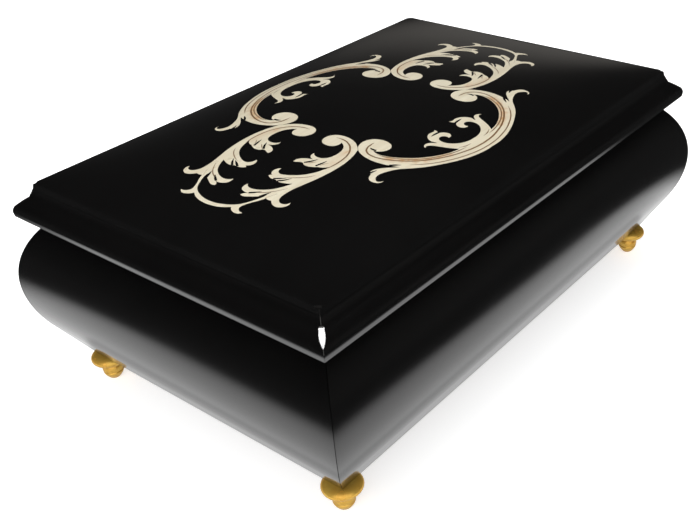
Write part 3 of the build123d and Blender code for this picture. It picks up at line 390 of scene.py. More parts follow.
engravedLook = {**inlaySurface, "name": "engravedBrown", "pale": (0.11, 0.052, 0.016, 1),
                "dark": (0.19, 0.10, 0.035, 1)}


def grainedFinish(look):
    material, tree, shader = newFinish(look["name"], look["settings"])
    fibre = useGroup(tree, woodGroup, Fineness=look["fineness"])
    skin = useGroup(tree, skinGroup, Gloss=look["gloss"], Haze=look["haze"], Peel=look["peel"])
    colour = mixColour(tree, fibre["Grain"], look["pale"], look["dark"])
    if "scorched" in look:
        # the sand shading follows the mesh's own attribute
        burn = addNode(tree, "ShaderNodeAttribute", attribute_name="scorch").outputs["Fac"]
        spots = remap(tree, blotches(tree, look["spotScale"]), *look["spotSpan"],
                      look["spotLeast"], 1.0)
        mask = combine(tree, "MULTIPLY", burn, spots)
        colour = mixColour(tree, mask, colour, look["scorched"])
    connect(tree, shader, colour, skin["Roughness"], fibre["Height"], look["bump"])
    return material


for slotName, look in grainedLooks.items():
    finishes[slotName] = grainedFinish(look)
engraved = grainedFinish(engravedLook)

metalSurface = {"marks": 1400.0, "bump": (0.000006, 0.5), "purity": 1.0}
metalLooks = {
    "polished_brass": {**metalSurface, "name": "polishedBrass", "gloss": 0.2, "spread": 0.08,
                       "bright": (1.0, 0.63, 0.115, 1), "dull": (0.94, 0.52, 0.08, 1),
                       "purity": 0.4},
    "plated_hinge": {**metalSurface, "name": "brushedHinge", "gloss": 0.26, "spread": 0.1,
                     "bright": (0.84, 0.62, 0.31, 1), "dull": (0.70, 0.48, 0.22, 1),
                     "marks": 2200.0, "bump": (0.00001, 0.5)},
    "movement_brass": {**metalSurface, "name": "satinBrass", "gloss": 0.24, "spread": 0.08,
                       "bright": (0.82, 0.63, 0.30, 1), "dull": (0.72, 0.52, 0.24, 1)},
    "steel": {**metalSurface, "name": "brightSteel", "gloss": 0.2, "spread": 0.08,
              "bright": (0.66, 0.66, 0.67, 1), "dull": (0.56, 0.56, 0.58, 1)},
    "spring_steel": {**metalSurface, "name": "bluedSteel", "gloss": 0.25, "spread": 0.08,
                     "bright": (0.18, 0.24, 0.42, 1), "dull": (0.12, 0.15, 0.26, 1)},
    "nickel_plate": {**metalSurface, "name": "nickelPlate", "gloss": 0.16, "spread": 0.06,
                     "bright": (0.76, 0.74, 0.71, 1), "dull": (0.68, 0.66, 0.62, 1)},
}


def metalFinish(look):
    material, tree, shader = newFinish(look["name"], {"Metallic": look["purity"]})
    skin = useGroup(tree, metalGroup, Gloss=look["gloss"], Spread=look["spread"],
                    Marks=look["marks"])
    colour = mixColour(tree, skin["Tarnish"], look["bright"], look["dull"])
    connect(tree, shader, colour, skin["Roughness"], skin["Height"], look["bump"])
    return material


for slotName, look in metalLooks.items():
    finishes[slotName] = metalFinish(look)

velvetLook = {"name": "redVelvet", "deep": (0.15, 0.005, 0.013, 1),
              "lit": (0.33, 0.018, 0.035, 1), "pile": 2600.0, "bump": (0.00025, 0.6),
              "settings": {"Sheen Weight": 0.75, "Sheen Roughness": 0.35,
                           "Sheen Tint": (0.9, 0.35, 0.38, 1), "Specular IOR Level": 0.15,
                           "Roughness": 0.92}}


def velvetFinish(look):
    material, tree, shader = newFinish(look["name"], look["settings"])
    pile = useGroup(tree, pileGroup, Pile=look["pile"])
    colour = mixColour(tree, pile["Nap"], look["deep"], look["lit"])
    connect(tree, shader, colour, None, pile["Height"], look["bump"])
    return material


finishes["velvet"] = velvetFinish(velvetLook)
print("finishes made:", len(finishes))

# Lid field: a crowned marquetry sheet. The inlays are merged copies of their CAD nodes, cut by a
# grid so that they bend smoothly, and set on the crown.

fieldShape = {"halfLength": 136.0, "halfWidth": 88.0, "edgeHeight": 112.3, "veneer": 0.6,
              "rise": 8.6, "shoulder": 1.55, "middle": 0.6, "slopeStep": 0.05,
              "groundGrid": 6.0, "inlayGrid": 3.0, "weld": 0.002, "border": (0.55, 0.4)}


def crownShare(along):
    # 0 at both edges and 1 in the middle
    along = min(max(along, 0.0), 1.0)
    rest = 1 - along
    sides = 4 * fieldShape["shoulder"] * along * rest * (along**2 + rest**2)
    return sides + 6 * fieldShape["middle"] * (along * rest) ** 2


def crownHeight(x, y):
    shareX = crownShare(x / (2 * fieldShape["halfLength"]) + 0.5)
    shareY = crownShare(y / (2 * fieldShape["halfWidth"]) + 0.5)
    return fieldShape["edgeHeight"] + fieldShape["rise"] * shareX * shareY


def crownNormal(x, y):
    step = fieldShape["slopeStep"]
    slopeX = (crownHeight(x + step, y) - crownHeight(x - step, y)) / (2 * step)
    slopeY = (crownHeight(x, y + step) - crownHeight(x, y - step)) / (2 * step)
    return Vector((-slopeX, -slopeY, 1)).normalized()


def cutByGrid(bm, faces, spacing):
    # cuts the given faces along both directions of the field
    for direction, half in ((Vector((1, 0, 0)), fieldShape["halfLength"]),
                            (Vector((0, 1, 0)), fieldShape["halfWidth"])):
        count = round(2 * half / spacing)
        for index in range(1, count):
            place = direction * (half * (2 * index / count - 1))
            level = place.dot(direction)
            beyond = {vert: vert.co.dot(direction) > level
                      for face in faces for vert in face.verts}
            crossing = [face for face in faces if len({beyond[vert] for vert in face.verts}) == 2]
            geometry = {item for face in crossing for item in (face, *face.edges, *face.verts)}
            cut = bmesh.ops.bisect_plane(bm, geom=list(geometry), dist=0.0001, plane_co=place,
                                         plane_no=direction)["geom"]
            faces = list({*faces, *(item for item in cut if isinstance(item, bmesh.types.BMFace))})
    return faces


def fieldCopy(nodeName, spacing, border=(0, 0)):
    # border is how far the sheet's outer edge stands out below and above
    bm = bmesh.new()
    bm.from_mesh(nodes[nodeName].data)
    scaleAll(bm, 1 / mm)
    bmesh.ops.remove_doubles(bm, verts=bm.verts, dist=fieldShape["weld"])
    cutByGrid(bm, bm.faces[:], spacing)
    for vert in bm.verts:
        top = crownHeight(vert.co.x, vert.co.y)
        for level, out in ((top - fieldShape["veneer"], border[0]), (top, border[1])):
            if abs(vert.co.z - level) < fieldShape["veneer"] / 2:
                vert.co.z = level
                if abs(abs(vert.co.x) - fieldShape["halfLength"]) < closeBy:
                    vert.co.x += copysign(out, vert.co.x)
                if abs(abs(vert.co.y) - fieldShape["halfWidth"]) < closeBy:
                    vert.co.y += copysign(out, vert.co.y)
                break
    return bm


def crownShading(piece):
    # faces that look up take the crown's own normals, so that reflections run over the seams
    mesh = piece.data
    normals = []
    for polygon in mesh.polygons:
        for index in polygon.loop_indices:
            place = mesh.vertices[mesh.loops[index].vertex_index].co / mm
            normals.append(crownNormal(place.x, place.y) if polygon.normal.z > 0.5
                           else polygon.normal)
    mesh.normals_split_custom_set(normals)


# Engraved lines by their width, sawn gaps and sand shading, drawn for the quarter with positive X
# and Y. The black ground fills the gaps, and each runs from its open end to its point.

scrollWork = {
    "lines": {
        0.80: [
            [(0, 65.2), (7, 64.7), (14, 63.2), (21, 60.9), (28, 57.3), (33, 53.7), (37, 49.5),
             (40.3, 44.4), (42.4, 39), (42.9, 34.2), (41.6, 30.2), (38.6, 27.6), (35.2, 26.8),
             (32.6, 26.7)],
        ],
        0.60: [
            [(0, 68), (6, 67.7), (12, 66.7), (18, 65.2), (24, 62.9), (30, 59.9), (35, 56.2),
             (38.6, 52.6)],
            [(9, 61.8), (14, 61.2), (20, 59.6), (26, 57), (32, 52.8), (36, 48.2), (38.8, 43),
             (40.3, 38.5), (40.4, 35)],
            [(5.0, 61.4), (8.5, 61.0), (12, 59.6)],
        ],
    },
    "gaps": [
        [(44.9, 45.7), (43.2, 47.5), (41.4, 49.7)], [(37.8, 32.4), (37.9, 30.2), (37.3, 28.4)],
        [(56.2, 43.4), (54, 43.5), (51.7, 44.3)], [(6.8, 43.9), (9.2, 43.7), (11.8, 43.7)],
        [(16.3, 46.8), (15.2, 49.4)],
    ],
    "shading": {"width": 1.5, "strength": 0.95,
                "run": [(20, 60.3), (26, 57.7), (31, 54.6), (35, 50.6), (38.2, 46), (40.6, 41)]},
}
sprayWork = {
    "lines": {
        0.75: [
            [(38, 8.5), (38, 12.5), (39.6, 17.2), (43, 21.3), (47.6, 24.2), (53, 25.6),
             (59, 25.8), (64, 25)],
        ],
        0.50: [
            [(59, 22.8), (60.6, 21.4), (62.6, 20.9)],
            [(60.8, 17.5), (62.6, 15.6), (64.2, 13.9)],
            [(70, 25.2), (72.5, 23.6), (76, 19.5), (78.6, 14.5)],
            [(84.5, 22.6), (90, 18.5), (93, 14.5), (94, 12)],
            [(90, 21.8), (95, 19.4)],
            [(93.6, 18.3), (96, 15.5)],
        ],
    },
    "gaps": [
        [(64.2, 12.8), (61.6, 14.8), (58.8, 16.2)], [(63.8, 19.4), (61, 20.1), (57.8, 20.7)],
        [(81.9, 11.2), (80.4, 13.3), (78.6, 16)], [(82.4, 14.1), (80.5, 16.1), (77.6, 18.2)],
        [(95.6, 10.2), (94.2, 12.2), (92.2, 14.6)], [(95.4, 16.5), (93, 17.6), (90.6, 18.6)],
    ],
    "shading": {"width": 1.4, "strength": 0.55,
                "run": [(46, 22.3), (51, 24), (56, 24.3), (60, 24)]},
}
strokeShape = {"gapWidth": 1.15, "tip": 0.25, "flatness": 0.12, "lift": 0.015, "sides": 1,
               "smoothness": 6}


def distanceTo(run, x, y):
    away = []
    for (ax, ay), (bx, by) in zip(run, run[1:]):
        dx, dy = bx - ax, by - ay
        share = min(max(((x - ax) * dx + (y - ay) * dy) / (dx * dx + dy * dy), 0), 1)
        away.append(hypot(x - ax - share * dx, y - ay - share * dy))
    return min(away)


def drawLines(bm, lineSets, signs, slotIndex, openStart=False):
    # tapered round strokes, pressed almost flat on to the crown
    shape = strokeShape
    curve = bpy.data.curves.new("strokes", "CURVE")
    curve.dimensions = "3D"
    curve.bevel_depth = 1.0
    curve.bevel_resolution = shape["sides"]
    curve.resolution_u = shape["smoothness"]
    curve.use_fill_caps = True
    runs = [(width, line, sign) for width, lines in lineSets.items() for line in lines
            for sign in signs]
    for width, line, (signX, signY) in runs:
        spline = curve.splines.new("BEZIER")
        spline.bezier_points.add(len(line) - 1)
        for index, point in enumerate(line):
            anchor = spline.bezier_points[index]
            anchor.co = (signX * point[0], signY * point[1], 0)
            anchor.handle_left_type = anchor.handle_right_type = "AUTO"
            startsWide = index == 0 and (openStart or point[0] == 0)
            atTip = index in (0, len(line) - 1) and not startsWide
            anchor.radius = width / 2 * (shape["tip"] if atTip else 1.0)
    holder = bpy.data.objects.new("strokes", curve)
    mesh = bpy.data.meshes.new_from_object(holder)
    before = len(bm.faces)
    known = set(bm.verts)
    bm.from_mesh(mesh)
    bm.faces.ensure_lookup_table()
    for face in bm.faces[before:]:
        face.material_index = slotIndex
    for vert in bm.verts:
        if vert not in known:
            top = crownHeight(vert.co.x, vert.co.y)
            vert.co.z = top + shape["flatness"] * vert.co.z + shape["lift"] * slotIndex
    bpy.data.objects.remove(holder)
    bpy.data.curves.remove(curve)
    bpy.data.meshes.remove(mesh)


def makeInlay(nodeName, name, work, signs):
    bm = fieldCopy(nodeName, fieldShape["inlayGrid"])
    drawLines(bm, work["lines"], signs, 1)
    drawLines(bm, {strokeShape["gapWidth"]: work["gaps"]}, signs, 2, True)
    burn = bm.verts.layers.float.new("scorch")
    shading = work["shading"]
    for vert in bm.verts:
        away = distanceTo(shading["run"], abs(vert.co.x), abs(vert.co.y))
        vert[burn] = shading["strength"] * exp(-((away / shading["width"]) ** 2))
    piece = finishPiece(bm, name, "lid", "ivory_veneer", [nodeName],
                        [engraved, finishes["black_veneer"]], keepNormals=True)
    crownShading(piece)


makeInlay("front_scroll_inlay", "frontScrollMarquetry", scrollWork, ((1, -1), (-1, -1)))
makeInlay("back_scroll_inlay", "backScrollMarquetry", scrollWork, ((1, 1), (-1, 1)))
makeInlay("left_spray_inlay", "leftSprayMarquetry", sprayWork, ((-1, 1), (-1, -1)))
makeInlay("right_spray_inlay", "rightSprayMarquetry", sprayWork, ((1, 1), (1, -1)))
ground = finishPiece(fieldCopy("ground_veneer", fieldShape["groundGrid"], fieldShape["border"]),
                     "groundMarquetry", "lid", "black_veneer", ["ground_veneer"],
                     keepNormals=True)
crownShading(ground)
print("marquetry set on the crown")

# Lid panel with its moulded edge. Outlines are (reach beyond the field, height above the bottom),
# and an arc of the swelling side is (radius, first angle, last angle).

lidShape = {"bottom": 96.3, "thickness": 16.0, "corner": 0.12, "topGrid": 12.0, "sharp": 12.0,
            "lip": ((8.78, 0.0), (8.86, 0.12), (9.11, 1.85), (9.15, 2.2)),
            "arcs": ((5.23, 0.0, 40.0), (13.25, 40.0, 59.0)), "arcSteps": 14,
            "coveRadius": 7.34, "coveSweep": -44.0, "coveSteps": 16,
            "quirk": 0.25, "quirkEdge": (0.02, 0.1),
            "recess": {"halfLength": 118.0, "halfWidth": 70.0, "depth": 5.2},
            "facet": {"low": (8.24, 5.2), "slope": 1.38, "top": 10.3, "fade": 1.0}}
hingeSeat = {"middles": (-80.0, 80.0), "halfLength": 15.0, "front": 75.5, "outside": 102.0,
             "axisY": 91.5, "axisZ": 96.15, "leaf": 1.2, "groove": 2.55, "grooveSides": 40,
             "play": 0.35, "clear": 1.0}


def lidOutline():
    # the lip leans in to its foot; above it come the swelling side in two arcs, and the cove with
    # a fine quirk
    shape = lidShape
    outline = list(shape["lip"])
    for radius, start, end in shape["arcs"]:
        lean = radians(start)
        reach, height = outline[-1]
        centre = (reach - radius * cos(lean), height - radius * sin(lean))
        outline += arcPoints(centre, radius, start, end - start, shape["arcSteps"])[1:]
    radius, lean = shape["coveRadius"], radians(shape["arcs"][-1][2])
    reach, height = outline[-1]
    centre = (reach + radius * cos(lean), height + radius * sin(lean))
    outline += arcPoints(centre, radius, degrees(lean) - 180, shape["coveSweep"],
                         shape["coveSteps"])[1:]
    reach, height = outline[-1]
    reach -= shape["quirk"]
    slip, rise = shape["quirkEdge"]
    return outline + [(reach, height), (reach - slip, height + rise),
                      (fieldShape["border"][0], shape["thickness"] - fieldShape["veneer"])]


def lidPanel():
    shape, facet, recess = lidShape, lidShape["facet"], lidShape["recess"]
    outline = lidOutline()
    reachAt = {round(height, 6): reach for reach, height in outline}

    def rubbedCorner(height):
        # a flat facet where each corner of the swelling side has been rubbed down
        reach, above = facet["low"]
        if not above < height < facet["top"]:
            return shape["corner"]
        chord = reach - (height - above) * facet["slope"]
        fade = min(1, (facet["top"] - height) / facet["fade"])
        return max(shape["corner"], 2 * fade * (reachAt[round(height, 6)] - chord))

    bm = bmesh.new()
    footReach = outline[0][0]
    face, border = rectangleInto(bm, fieldShape["halfLength"] + footReach,
                                 fieldShape["halfWidth"] + footReach, shape["corner"])
    bmesh.ops.delete(bm, geom=[face], context="FACES_ONLY")
    topEdges = growRings(bm, border, ringSteps(outline), rubbedCorner)
    top = bmesh.ops.contextual_create(bm, geom=topEdges)["faces"]
    face, recessEdges = rectangleInto(bm, recess["halfLength"], recess["halfWidth"])
    bmesh.ops.delete(bm, geom=[face], context="FACES_ONLY")
    ceiling = growRings(bm, recessEdges, [(0, recess["depth"])])
    bmesh.ops.contextual_create(bm, geom=ceiling)
    bmesh.ops.triangle_fill(bm, edges=border + recessEdges, use_beauty=True, use_dissolve=False)
    bmesh.ops.translate(bm, vec=(0, 0, shape["bottom"]), verts=bm.verts)
    top = cutByGrid(bm, top, shape["topGrid"])
    for vert in {vert for each in top for vert in each.verts}:
        vert.co.z = crownHeight(vert.co.x, vert.co.y) - fieldShape["veneer"]
    return finishPiece(bm, "mouldedLid", "lid", "black_lacquer", ["lid_panel"],
                       sharpAngle=shape["sharp"])


def leafPockets(low, high, back, play=0.0):
    cutter = bmesh.new()
    for middle in hingeSeat["middles"]:
        reach = hingeSeat["halfLength"] + play
        boxInto(cutter, (middle - reach, hingeSeat["front"], low), (middle + reach, back, high))
    return cutter


def knuckleGrooves():
    seat = hingeSeat
    cutter = bmesh.new()
    for middle in seat["middles"]:
        place = Matrix.Translation((middle, seat["axisY"], seat["axisZ"]))
        bmesh.ops.create_cone(cutter, cap_ends=True, segments=seat["grooveSides"],
                              radius1=seat["groove"], radius2=seat["groove"],
                              depth=2 * (seat["halfLength"] + seat["play"]),
                              matrix=place @ Matrix.Rotation(radians(90), 4, "Y"))
    return cutter


lid = lidPanel()
cutAway(lid, leafPockets(lidShape["bottom"] - hingeSeat["clear"],
                         lidShape["bottom"] + hingeSeat["leaf"], hingeSeat["axisY"],
                         hingeSeat["play"]))
cutAway(lid, knuckleGrooves())
lid.data.set_sharp_from_angle(angle=radians(lidShape["sharp"]))
print("lid moulded")

# Case walls, mitred at the corners. A wall's section is (reach beyond the inner face, height above
# the wall's foot), and halfLength and halfWidth are the case's inside.

wallShape = {"halfLength": 121.5, "halfWidth": 73.5, "foot": 15.3, "height": 80.7, "rim": 8.0,
             "belly": 28.5, "bellyHeight": 44.0, "lowerRadius": 48.7, "splay": 31.5,
             "rebate": 4.2, "rebateHeight": 5.0, "arcSteps": 40, "rimRound": 0.5,
             "longEdge": 50.0, "mitreGap": 0.16, "sharp": 24.0}


def caseWall(nodeName, name, outward):
    shape = wallShape
    halfInner, halfRun = shape["halfLength"], shape["halfWidth"]
    if outward[1]:
        halfInner, halfRun = halfRun, halfInner
    upRise, upRun = shape["height"] - shape["bellyHeight"], shape["belly"] - shape["rim"]
    upRadius = (upRise**2 + upRun**2) / (2 * upRun)
    lowRadius, splay = shape["lowerRadius"], radians(shape["splay"])
    lowCentre = (shape["belly"] - lowRadius, shape["bellyHeight"])
    upCentre = (shape["belly"] - upRadius, shape["bellyHeight"])
    arcStart = (lowCentre[0] + lowRadius * cos(splay), lowCentre[1] - lowRadius * sin(splay))
    footReach = arcStart[0] - arcStart[1] * sin(splay) / cos(splay)
    bm = bmesh.new()
    first = bm.verts.new((footReach, 0, 0))
    vert = lineTo(bm, first, (arcStart[0], 0, arcStart[1]))
    vert = arcTo(bm, vert, lowCentre, shape["splay"], shape["arcSteps"])
    vert = arcTo(bm, vert, upCentre, degrees(asin(upRise / upRadius)), shape["arcSteps"])
    vert.co = (shape["rim"], 0, shape["height"])
    vert = lineTo(bm, vert, (0, 0, shape["height"]), (0, 0, shape["rebateHeight"]),
                  (shape["rebate"], 0, shape["rebateHeight"]), (shape["rebate"], 0, 0))
    bm.edges.new((vert, first))
    section = bmesh.ops.contextual_create(bm, geom=bm.edges[:])["faces"]
    grown = bmesh.ops.extrude_face_region(bm, geom=section)["geom"]
    for item in grown:
        if isinstance(item, bmesh.types.BMVert):
            item.co.y = 1
    # the section at y = 1 goes to one mitre and the section at y = 0 to the other
    for vert in bm.verts:
        side = 1 if vert.co.y > 0.5 else -1
        vert.co.y = side * (halfRun + vert.co.x - shape["mitreGap"])
    rimEdges = [edge for edge in bm.edges if edge.calc_length() > shape["longEdge"]
                and all(abs(each.co.z - shape["height"]) < closeBy for each in edge.verts)]
    bmesh.ops.bevel(bm, geom=rimEdges, offset=shape["rimRound"], segments=3, profile=0.5,
                    affect="EDGES", material=-1)
    out = Vector((*outward, 0))
    along = Vector((-out.y, out.x, 0))
    turn = Matrix((out, along, (0, 0, 1))).transposed().to_4x4()
    place = Matrix.Translation(out * halfInner + Vector((0, 0, shape["foot"])))
    bmesh.ops.transform(bm, matrix=place @ turn, verts=bm.verts)
    return finishPiece(bm, name, "case", "black_lacquer", [nodeName], sharpAngle=shape["sharp"])


caseWall("front_wall", "frontWallLacquered", (0, -1))
caseWall("left_wall", "leftWallLacquered", (-1, 0))
caseWall("right_wall", "rightWallLacquered", (1, 0))
backWall = caseWall("back_wall", "backWallLacquered", (0, 1))
rimTop = wallShape["foot"] + wallShape["height"]
cutAway(backWall, leafPockets(rimTop - hingeSeat["leaf"], rimTop + hingeSeat["clear"],
                              hingeSeat["outside"]))
backWall.data.set_sharp_from_angle(angle=radians(wallShape["sharp"]))
print("case walls made")

# Turned brass feet: a cushioned disc close under the wall, a waist of (reach, height) and a ball.
# The ball's turned line is (height, width, depth).

footShape = {"top": 15.3, "topReach": 4.6, "disc": 9.4, "discRound": 3.8, "discMiddle": 12.7,
             "discUp": 2.5, "discDown": 2.7, "discSteps": 24,
             "waist": ((5.3, 9.85), (4.6, 9.75), (4.1, 9.6)),
             "neck": 3.9, "neckHeight": 9.2, "bulge": 2.05, "bulgeSkew": 0.96,
             "bulgeFullness": 0.82, "ball": 5.3, "pad": 2.6, "ballSteps": 34,
             "line": (4.6, 0.34, 0.5), "sides": 56, "sharp": 40.0,
             "places": {"front_left": (-127.2, -79.2), "front_right": (127.2, -79.2),
                        "back_left": (-127.2, 79.2), "back_right": (127.2, 79.2)}}


def turnedFoot(nodeName, x, y):
    shape = footShape
    flat = shape["disc"] - shape["discRound"]
    bm = bmesh.new()
    vert = bm.verts.new((0, 0, shape["top"]))
    vert = lineTo(bm, vert, (shape["topReach"], 0, shape["top"]))
    for index in range(shape["discSteps"] + 1):
        turn = radians(90 - 180 * index / shape["discSteps"])
        tall = shape["discUp"] if turn > 0 else shape["discDown"]
        reach = flat + shape["discRound"] * cos(turn)
        vert = lineTo(bm, vert, (reach, 0, shape["discMiddle"] + tall * sin(turn)))
    vert = lineTo(bm, vert, *((reach, 0, height) for reach, height in shape["waist"]))
    lineHeight, lineWidth, lineDepth = shape["line"]
    for index in range(shape["ballSteps"] + 1):
        share = index / shape["ballSteps"]
        height = shape["neckHeight"] * (1 - share)
        swell = max(0, sin(pi * share ** shape["bulgeSkew"])) ** shape["bulgeFullness"]
        reach = shape["neck"] + (shape["pad"] - shape["neck"]) * share + shape["bulge"] * swell
        notch = lineDepth * exp(-(((height - lineHeight) / lineWidth) ** 2))
        vert = lineTo(bm, vert, (min(reach, shape["ball"]) - notch, 0, height))
    lineTo(bm, vert, (0, 0, 0))
    turnRound(bm, bm.verts[:] + bm.edges[:], shape["sides"])
    bmesh.ops.remove_doubles(bm, verts=bm.verts, dist=weld)
    bmesh.ops.translate(bm, vec=(x, y, 0), verts=bm.verts)
    finishPiece(bm, nodeName + "_turned", "case", "polished_brass", [nodeName],
                sharpAngle=shape["sharp"])


for place, (x, y) in footShape["places"].items():
    turnedFoot("foot_" + place, x, y)
print("feet turned")

# Velvet inside: covered boards, a padded floor and four stuffed ring rolls

boardShape = {"round": 0.6, "roundSteps": 4, "sharp": 50.0, "boards": {
    "front_lining": ((-41.0, -73.5, 20.3), (121.5, -71.9, 86.3)),
    "back_lining": ((-41.0, 71.9, 20.3), (121.5, 73.5, 86.3)),
    "left_lining": ((-41.0, -71.9, 20.3), (-39.4, 71.9, 84.0)),
    "right_lining": ((119.9, -71.9, 20.3), (121.5, 71.9, 86.3)),
    "ring_divider": ((68.0, -71.9, 20.3), (70.4, 71.9, 40.3)),
}}
for nodeName, (low, high) in boardShape["boards"].items():
    bm = bmesh.new()
    boxInto(bm, low, high)
    bmesh.ops.bevel(bm, geom=bm.edges[:], offset=boardShape["round"],
                    segments=boardShape["roundSteps"], profile=0.5, affect="EDGES", material=-1)
    finishPiece(bm, nodeName + "_covered", "case", "velvet", [nodeName],
                sharpAngle=boardShape["sharp"])

padShape = {"left": -39.1, "right": 67.7, "halfWidth": 71.6, "low": 20.3, "high": 23.5,
            "round": 1.5, "roundSteps": 6, "hem": 0.4, "still": 0.6, "pull": 0.7, "crown": 0.5,
            "ripple": 0.12, "rippleLength": 9.0, "grid": (48, 64), "sharp": 60.0}


def floorPad():
    shape = padShape
    halfX, middleX = (shape["right"] - shape["left"]) / 2, (shape["right"] + shape["left"]) / 2
    edge, low = shape["round"], shape["low"]
    top = shape["high"] - shape["crown"] - shape["ripple"]
    bm = bmesh.new()
    verts = bmesh.ops.create_grid(bm, x_segments=shape["grid"][0], y_segments=shape["grid"][1],
                                  size=1)["verts"]
    inner = (halfX - edge, shape["halfWidth"] - edge)
    bmesh.ops.scale(bm, vec=(*inner, 1), verts=verts)
    bmesh.ops.translate(bm, vec=(0, 0, top), verts=verts)
    border = [each for each in bm.edges if each.is_boundary]
    outline = arcPoints((0, top - edge), edge, 90, -90, shape["roundSteps"])
    outline += [(edge, low + shape["hem"]), (edge - shape["hem"], low)]
    for out, height in ringSteps(outline):
        border, fresh = extrudeRing(bm, border)
        for vert in fresh:
            x, y = vert.co.x, vert.co.y
            onEnd, onSide = abs(x) > inner[0] - closeBy, abs(y) > inner[1] - closeBy
            vert.co = (x + (out * copysign(1, x) if onEnd else 0),
                       y + (out * copysign(1, y) if onSide else 0), height)
    bmesh.ops.contextual_create(bm, geom=border)
    # the top swells and ripples, and the sides pull in between the corners
    for vert in bm.verts:
        x, y = vert.co.x / halfX, vert.co.y / shape["halfWidth"]
        if vert.co.z > low + shape["still"]:
            swell = max(0, 1 - x**4) * max(0, 1 - y**4)
            wave = shape["ripple"] * noise.noise(vert.co / shape["rippleLength"])
            vert.co.z += shape["crown"] * swell + wave * swell
        vert.co.x -= copysign(shape["pull"] * max(0, 1 - y**2) * abs(x) ** 3, vert.co.x)
        vert.co.y -= copysign(shape["pull"] * max(0, 1 - x**2) * abs(y) ** 3, vert.co.y)
    bmesh.ops.translate(bm, vec=(middleX, 0, 0), verts=bm.verts)
    return finishPiece(bm, "velvetFloorPad", "case", "velvet", ["floor_pad"],
                       sharpAngle=shape["sharp"])


floorPad()

rollShape = {"middles": (76.7, 89.0, 101.3, 113.6), "radius": 6.0, "halfLength": 71.5,
             "low": 20.3, "endRound": 3.4, "endSteps": 7, "runSteps": 60, "sides": 40,
             "ripple": 0.16, "rippleLength": (7, 11, 7), "rippleShift": 5, "seam": 0.25,
             "seamWidth": 0.8, "sharp": 60.0}


def ringRoll(bm, number, middle):
    shape = rollShape
    radius, halfLength, endRound = shape["radius"], shape["halfLength"], shape["endRound"]
    straight = halfLength - endRound
    known = set(bm.verts)
    vert = bm.verts.new((0, 0, -halfLength))
    vert = lineTo(bm, vert, (radius - endRound, 0, -halfLength))
    vert = arcTo(bm, vert, (radius - endRound, -straight), 90, shape["endSteps"])
    for index in range(1, shape["runSteps"] + 1):
        vert = lineTo(bm, vert, (radius, 0, straight * (2 * index / shape["runSteps"] - 1)))
    vert = arcTo(bm, vert, (radius - endRound, straight), 90, shape["endSteps"])
    lineTo(bm, vert, (0, 0, halfLength))
    fresh = [each for each in bm.verts if each not in known]
    edges = list({edge for each in fresh for edge in each.link_edges})
    turnRound(bm, fresh + edges, shape["sides"])
    fresh = [each for each in bm.verts if each not in known]
    axisHeight = shape["low"] + radius
    lay = Matrix.Translation((middle, 0, axisHeight)) @ Matrix.Rotation(radians(90), 4, "X")
    bmesh.ops.transform(bm, matrix=lay, verts=fresh)
    # soft hollows all round, and a sewn seam along the underside
    lengthX, lengthY, lengthZ = shape["rippleLength"]
    for vert in fresh:
        x, y, z = vert.co
        axis = Vector((middle, y, axisHeight))
        away = vert.co - axis
        soft = noise.noise(Vector((x / lengthX + shape["rippleShift"] * number, y / lengthY,
                                   z / lengthZ)))
        seam = shape["seam"] * exp(-((away.x / shape["seamWidth"]) ** 2)) if away.z < 0 else 0
        vert.co = axis + away * (1 - (shape["ripple"] * (1 - soft) + seam) / radius)
        vert.co.z = max(vert.co.z, shape["low"])


def ringRolls():
    bm = bmesh.new()
    for number, middle in enumerate(rollShape["middles"]):
        ringRoll(bm, number, middle)
    bmesh.ops.remove_doubles(bm, verts=bm.verts, dist=weld)
    return finishPiece(bm, "velvetRingRolls", "case", "velvet", ["ring_rolls"],
                       sharpAngle=rollShape["sharp"])


ringRolls()
print("velvet laid in")

# The nodes that stay take their finish from the record's slots

for nodeName, node in nodes.items():
    if nodeName not in replacedNodes:
        for holder in node.material_slots:
            holder.material = finishes[slotOf[nodeName]]
print("nodes dressed")

# Floor, light and camera, in metres and degrees. Glossy rays see a floor with a painted glow that
# is bright near the box and dim further out, less far to the right, and a painted shadow where it
# meets the box.

floorLook = {"halfSize": 4.0, "colour": (0.9, 0.9, 0.9, 1), "cameraGlow": 0.66,
             "nearGlow": 0.95, "farGlow": 0.035, "nearEdge": 0.065, "farEdge": 0.17,
             "footShade": 0.62, "shadeWidth": 0.010, "dimSide": 0.75, "dimFrom": -0.05,
             "dimTo": 0.20, "halfLength": 0.150, "halfWidth": 0.102}


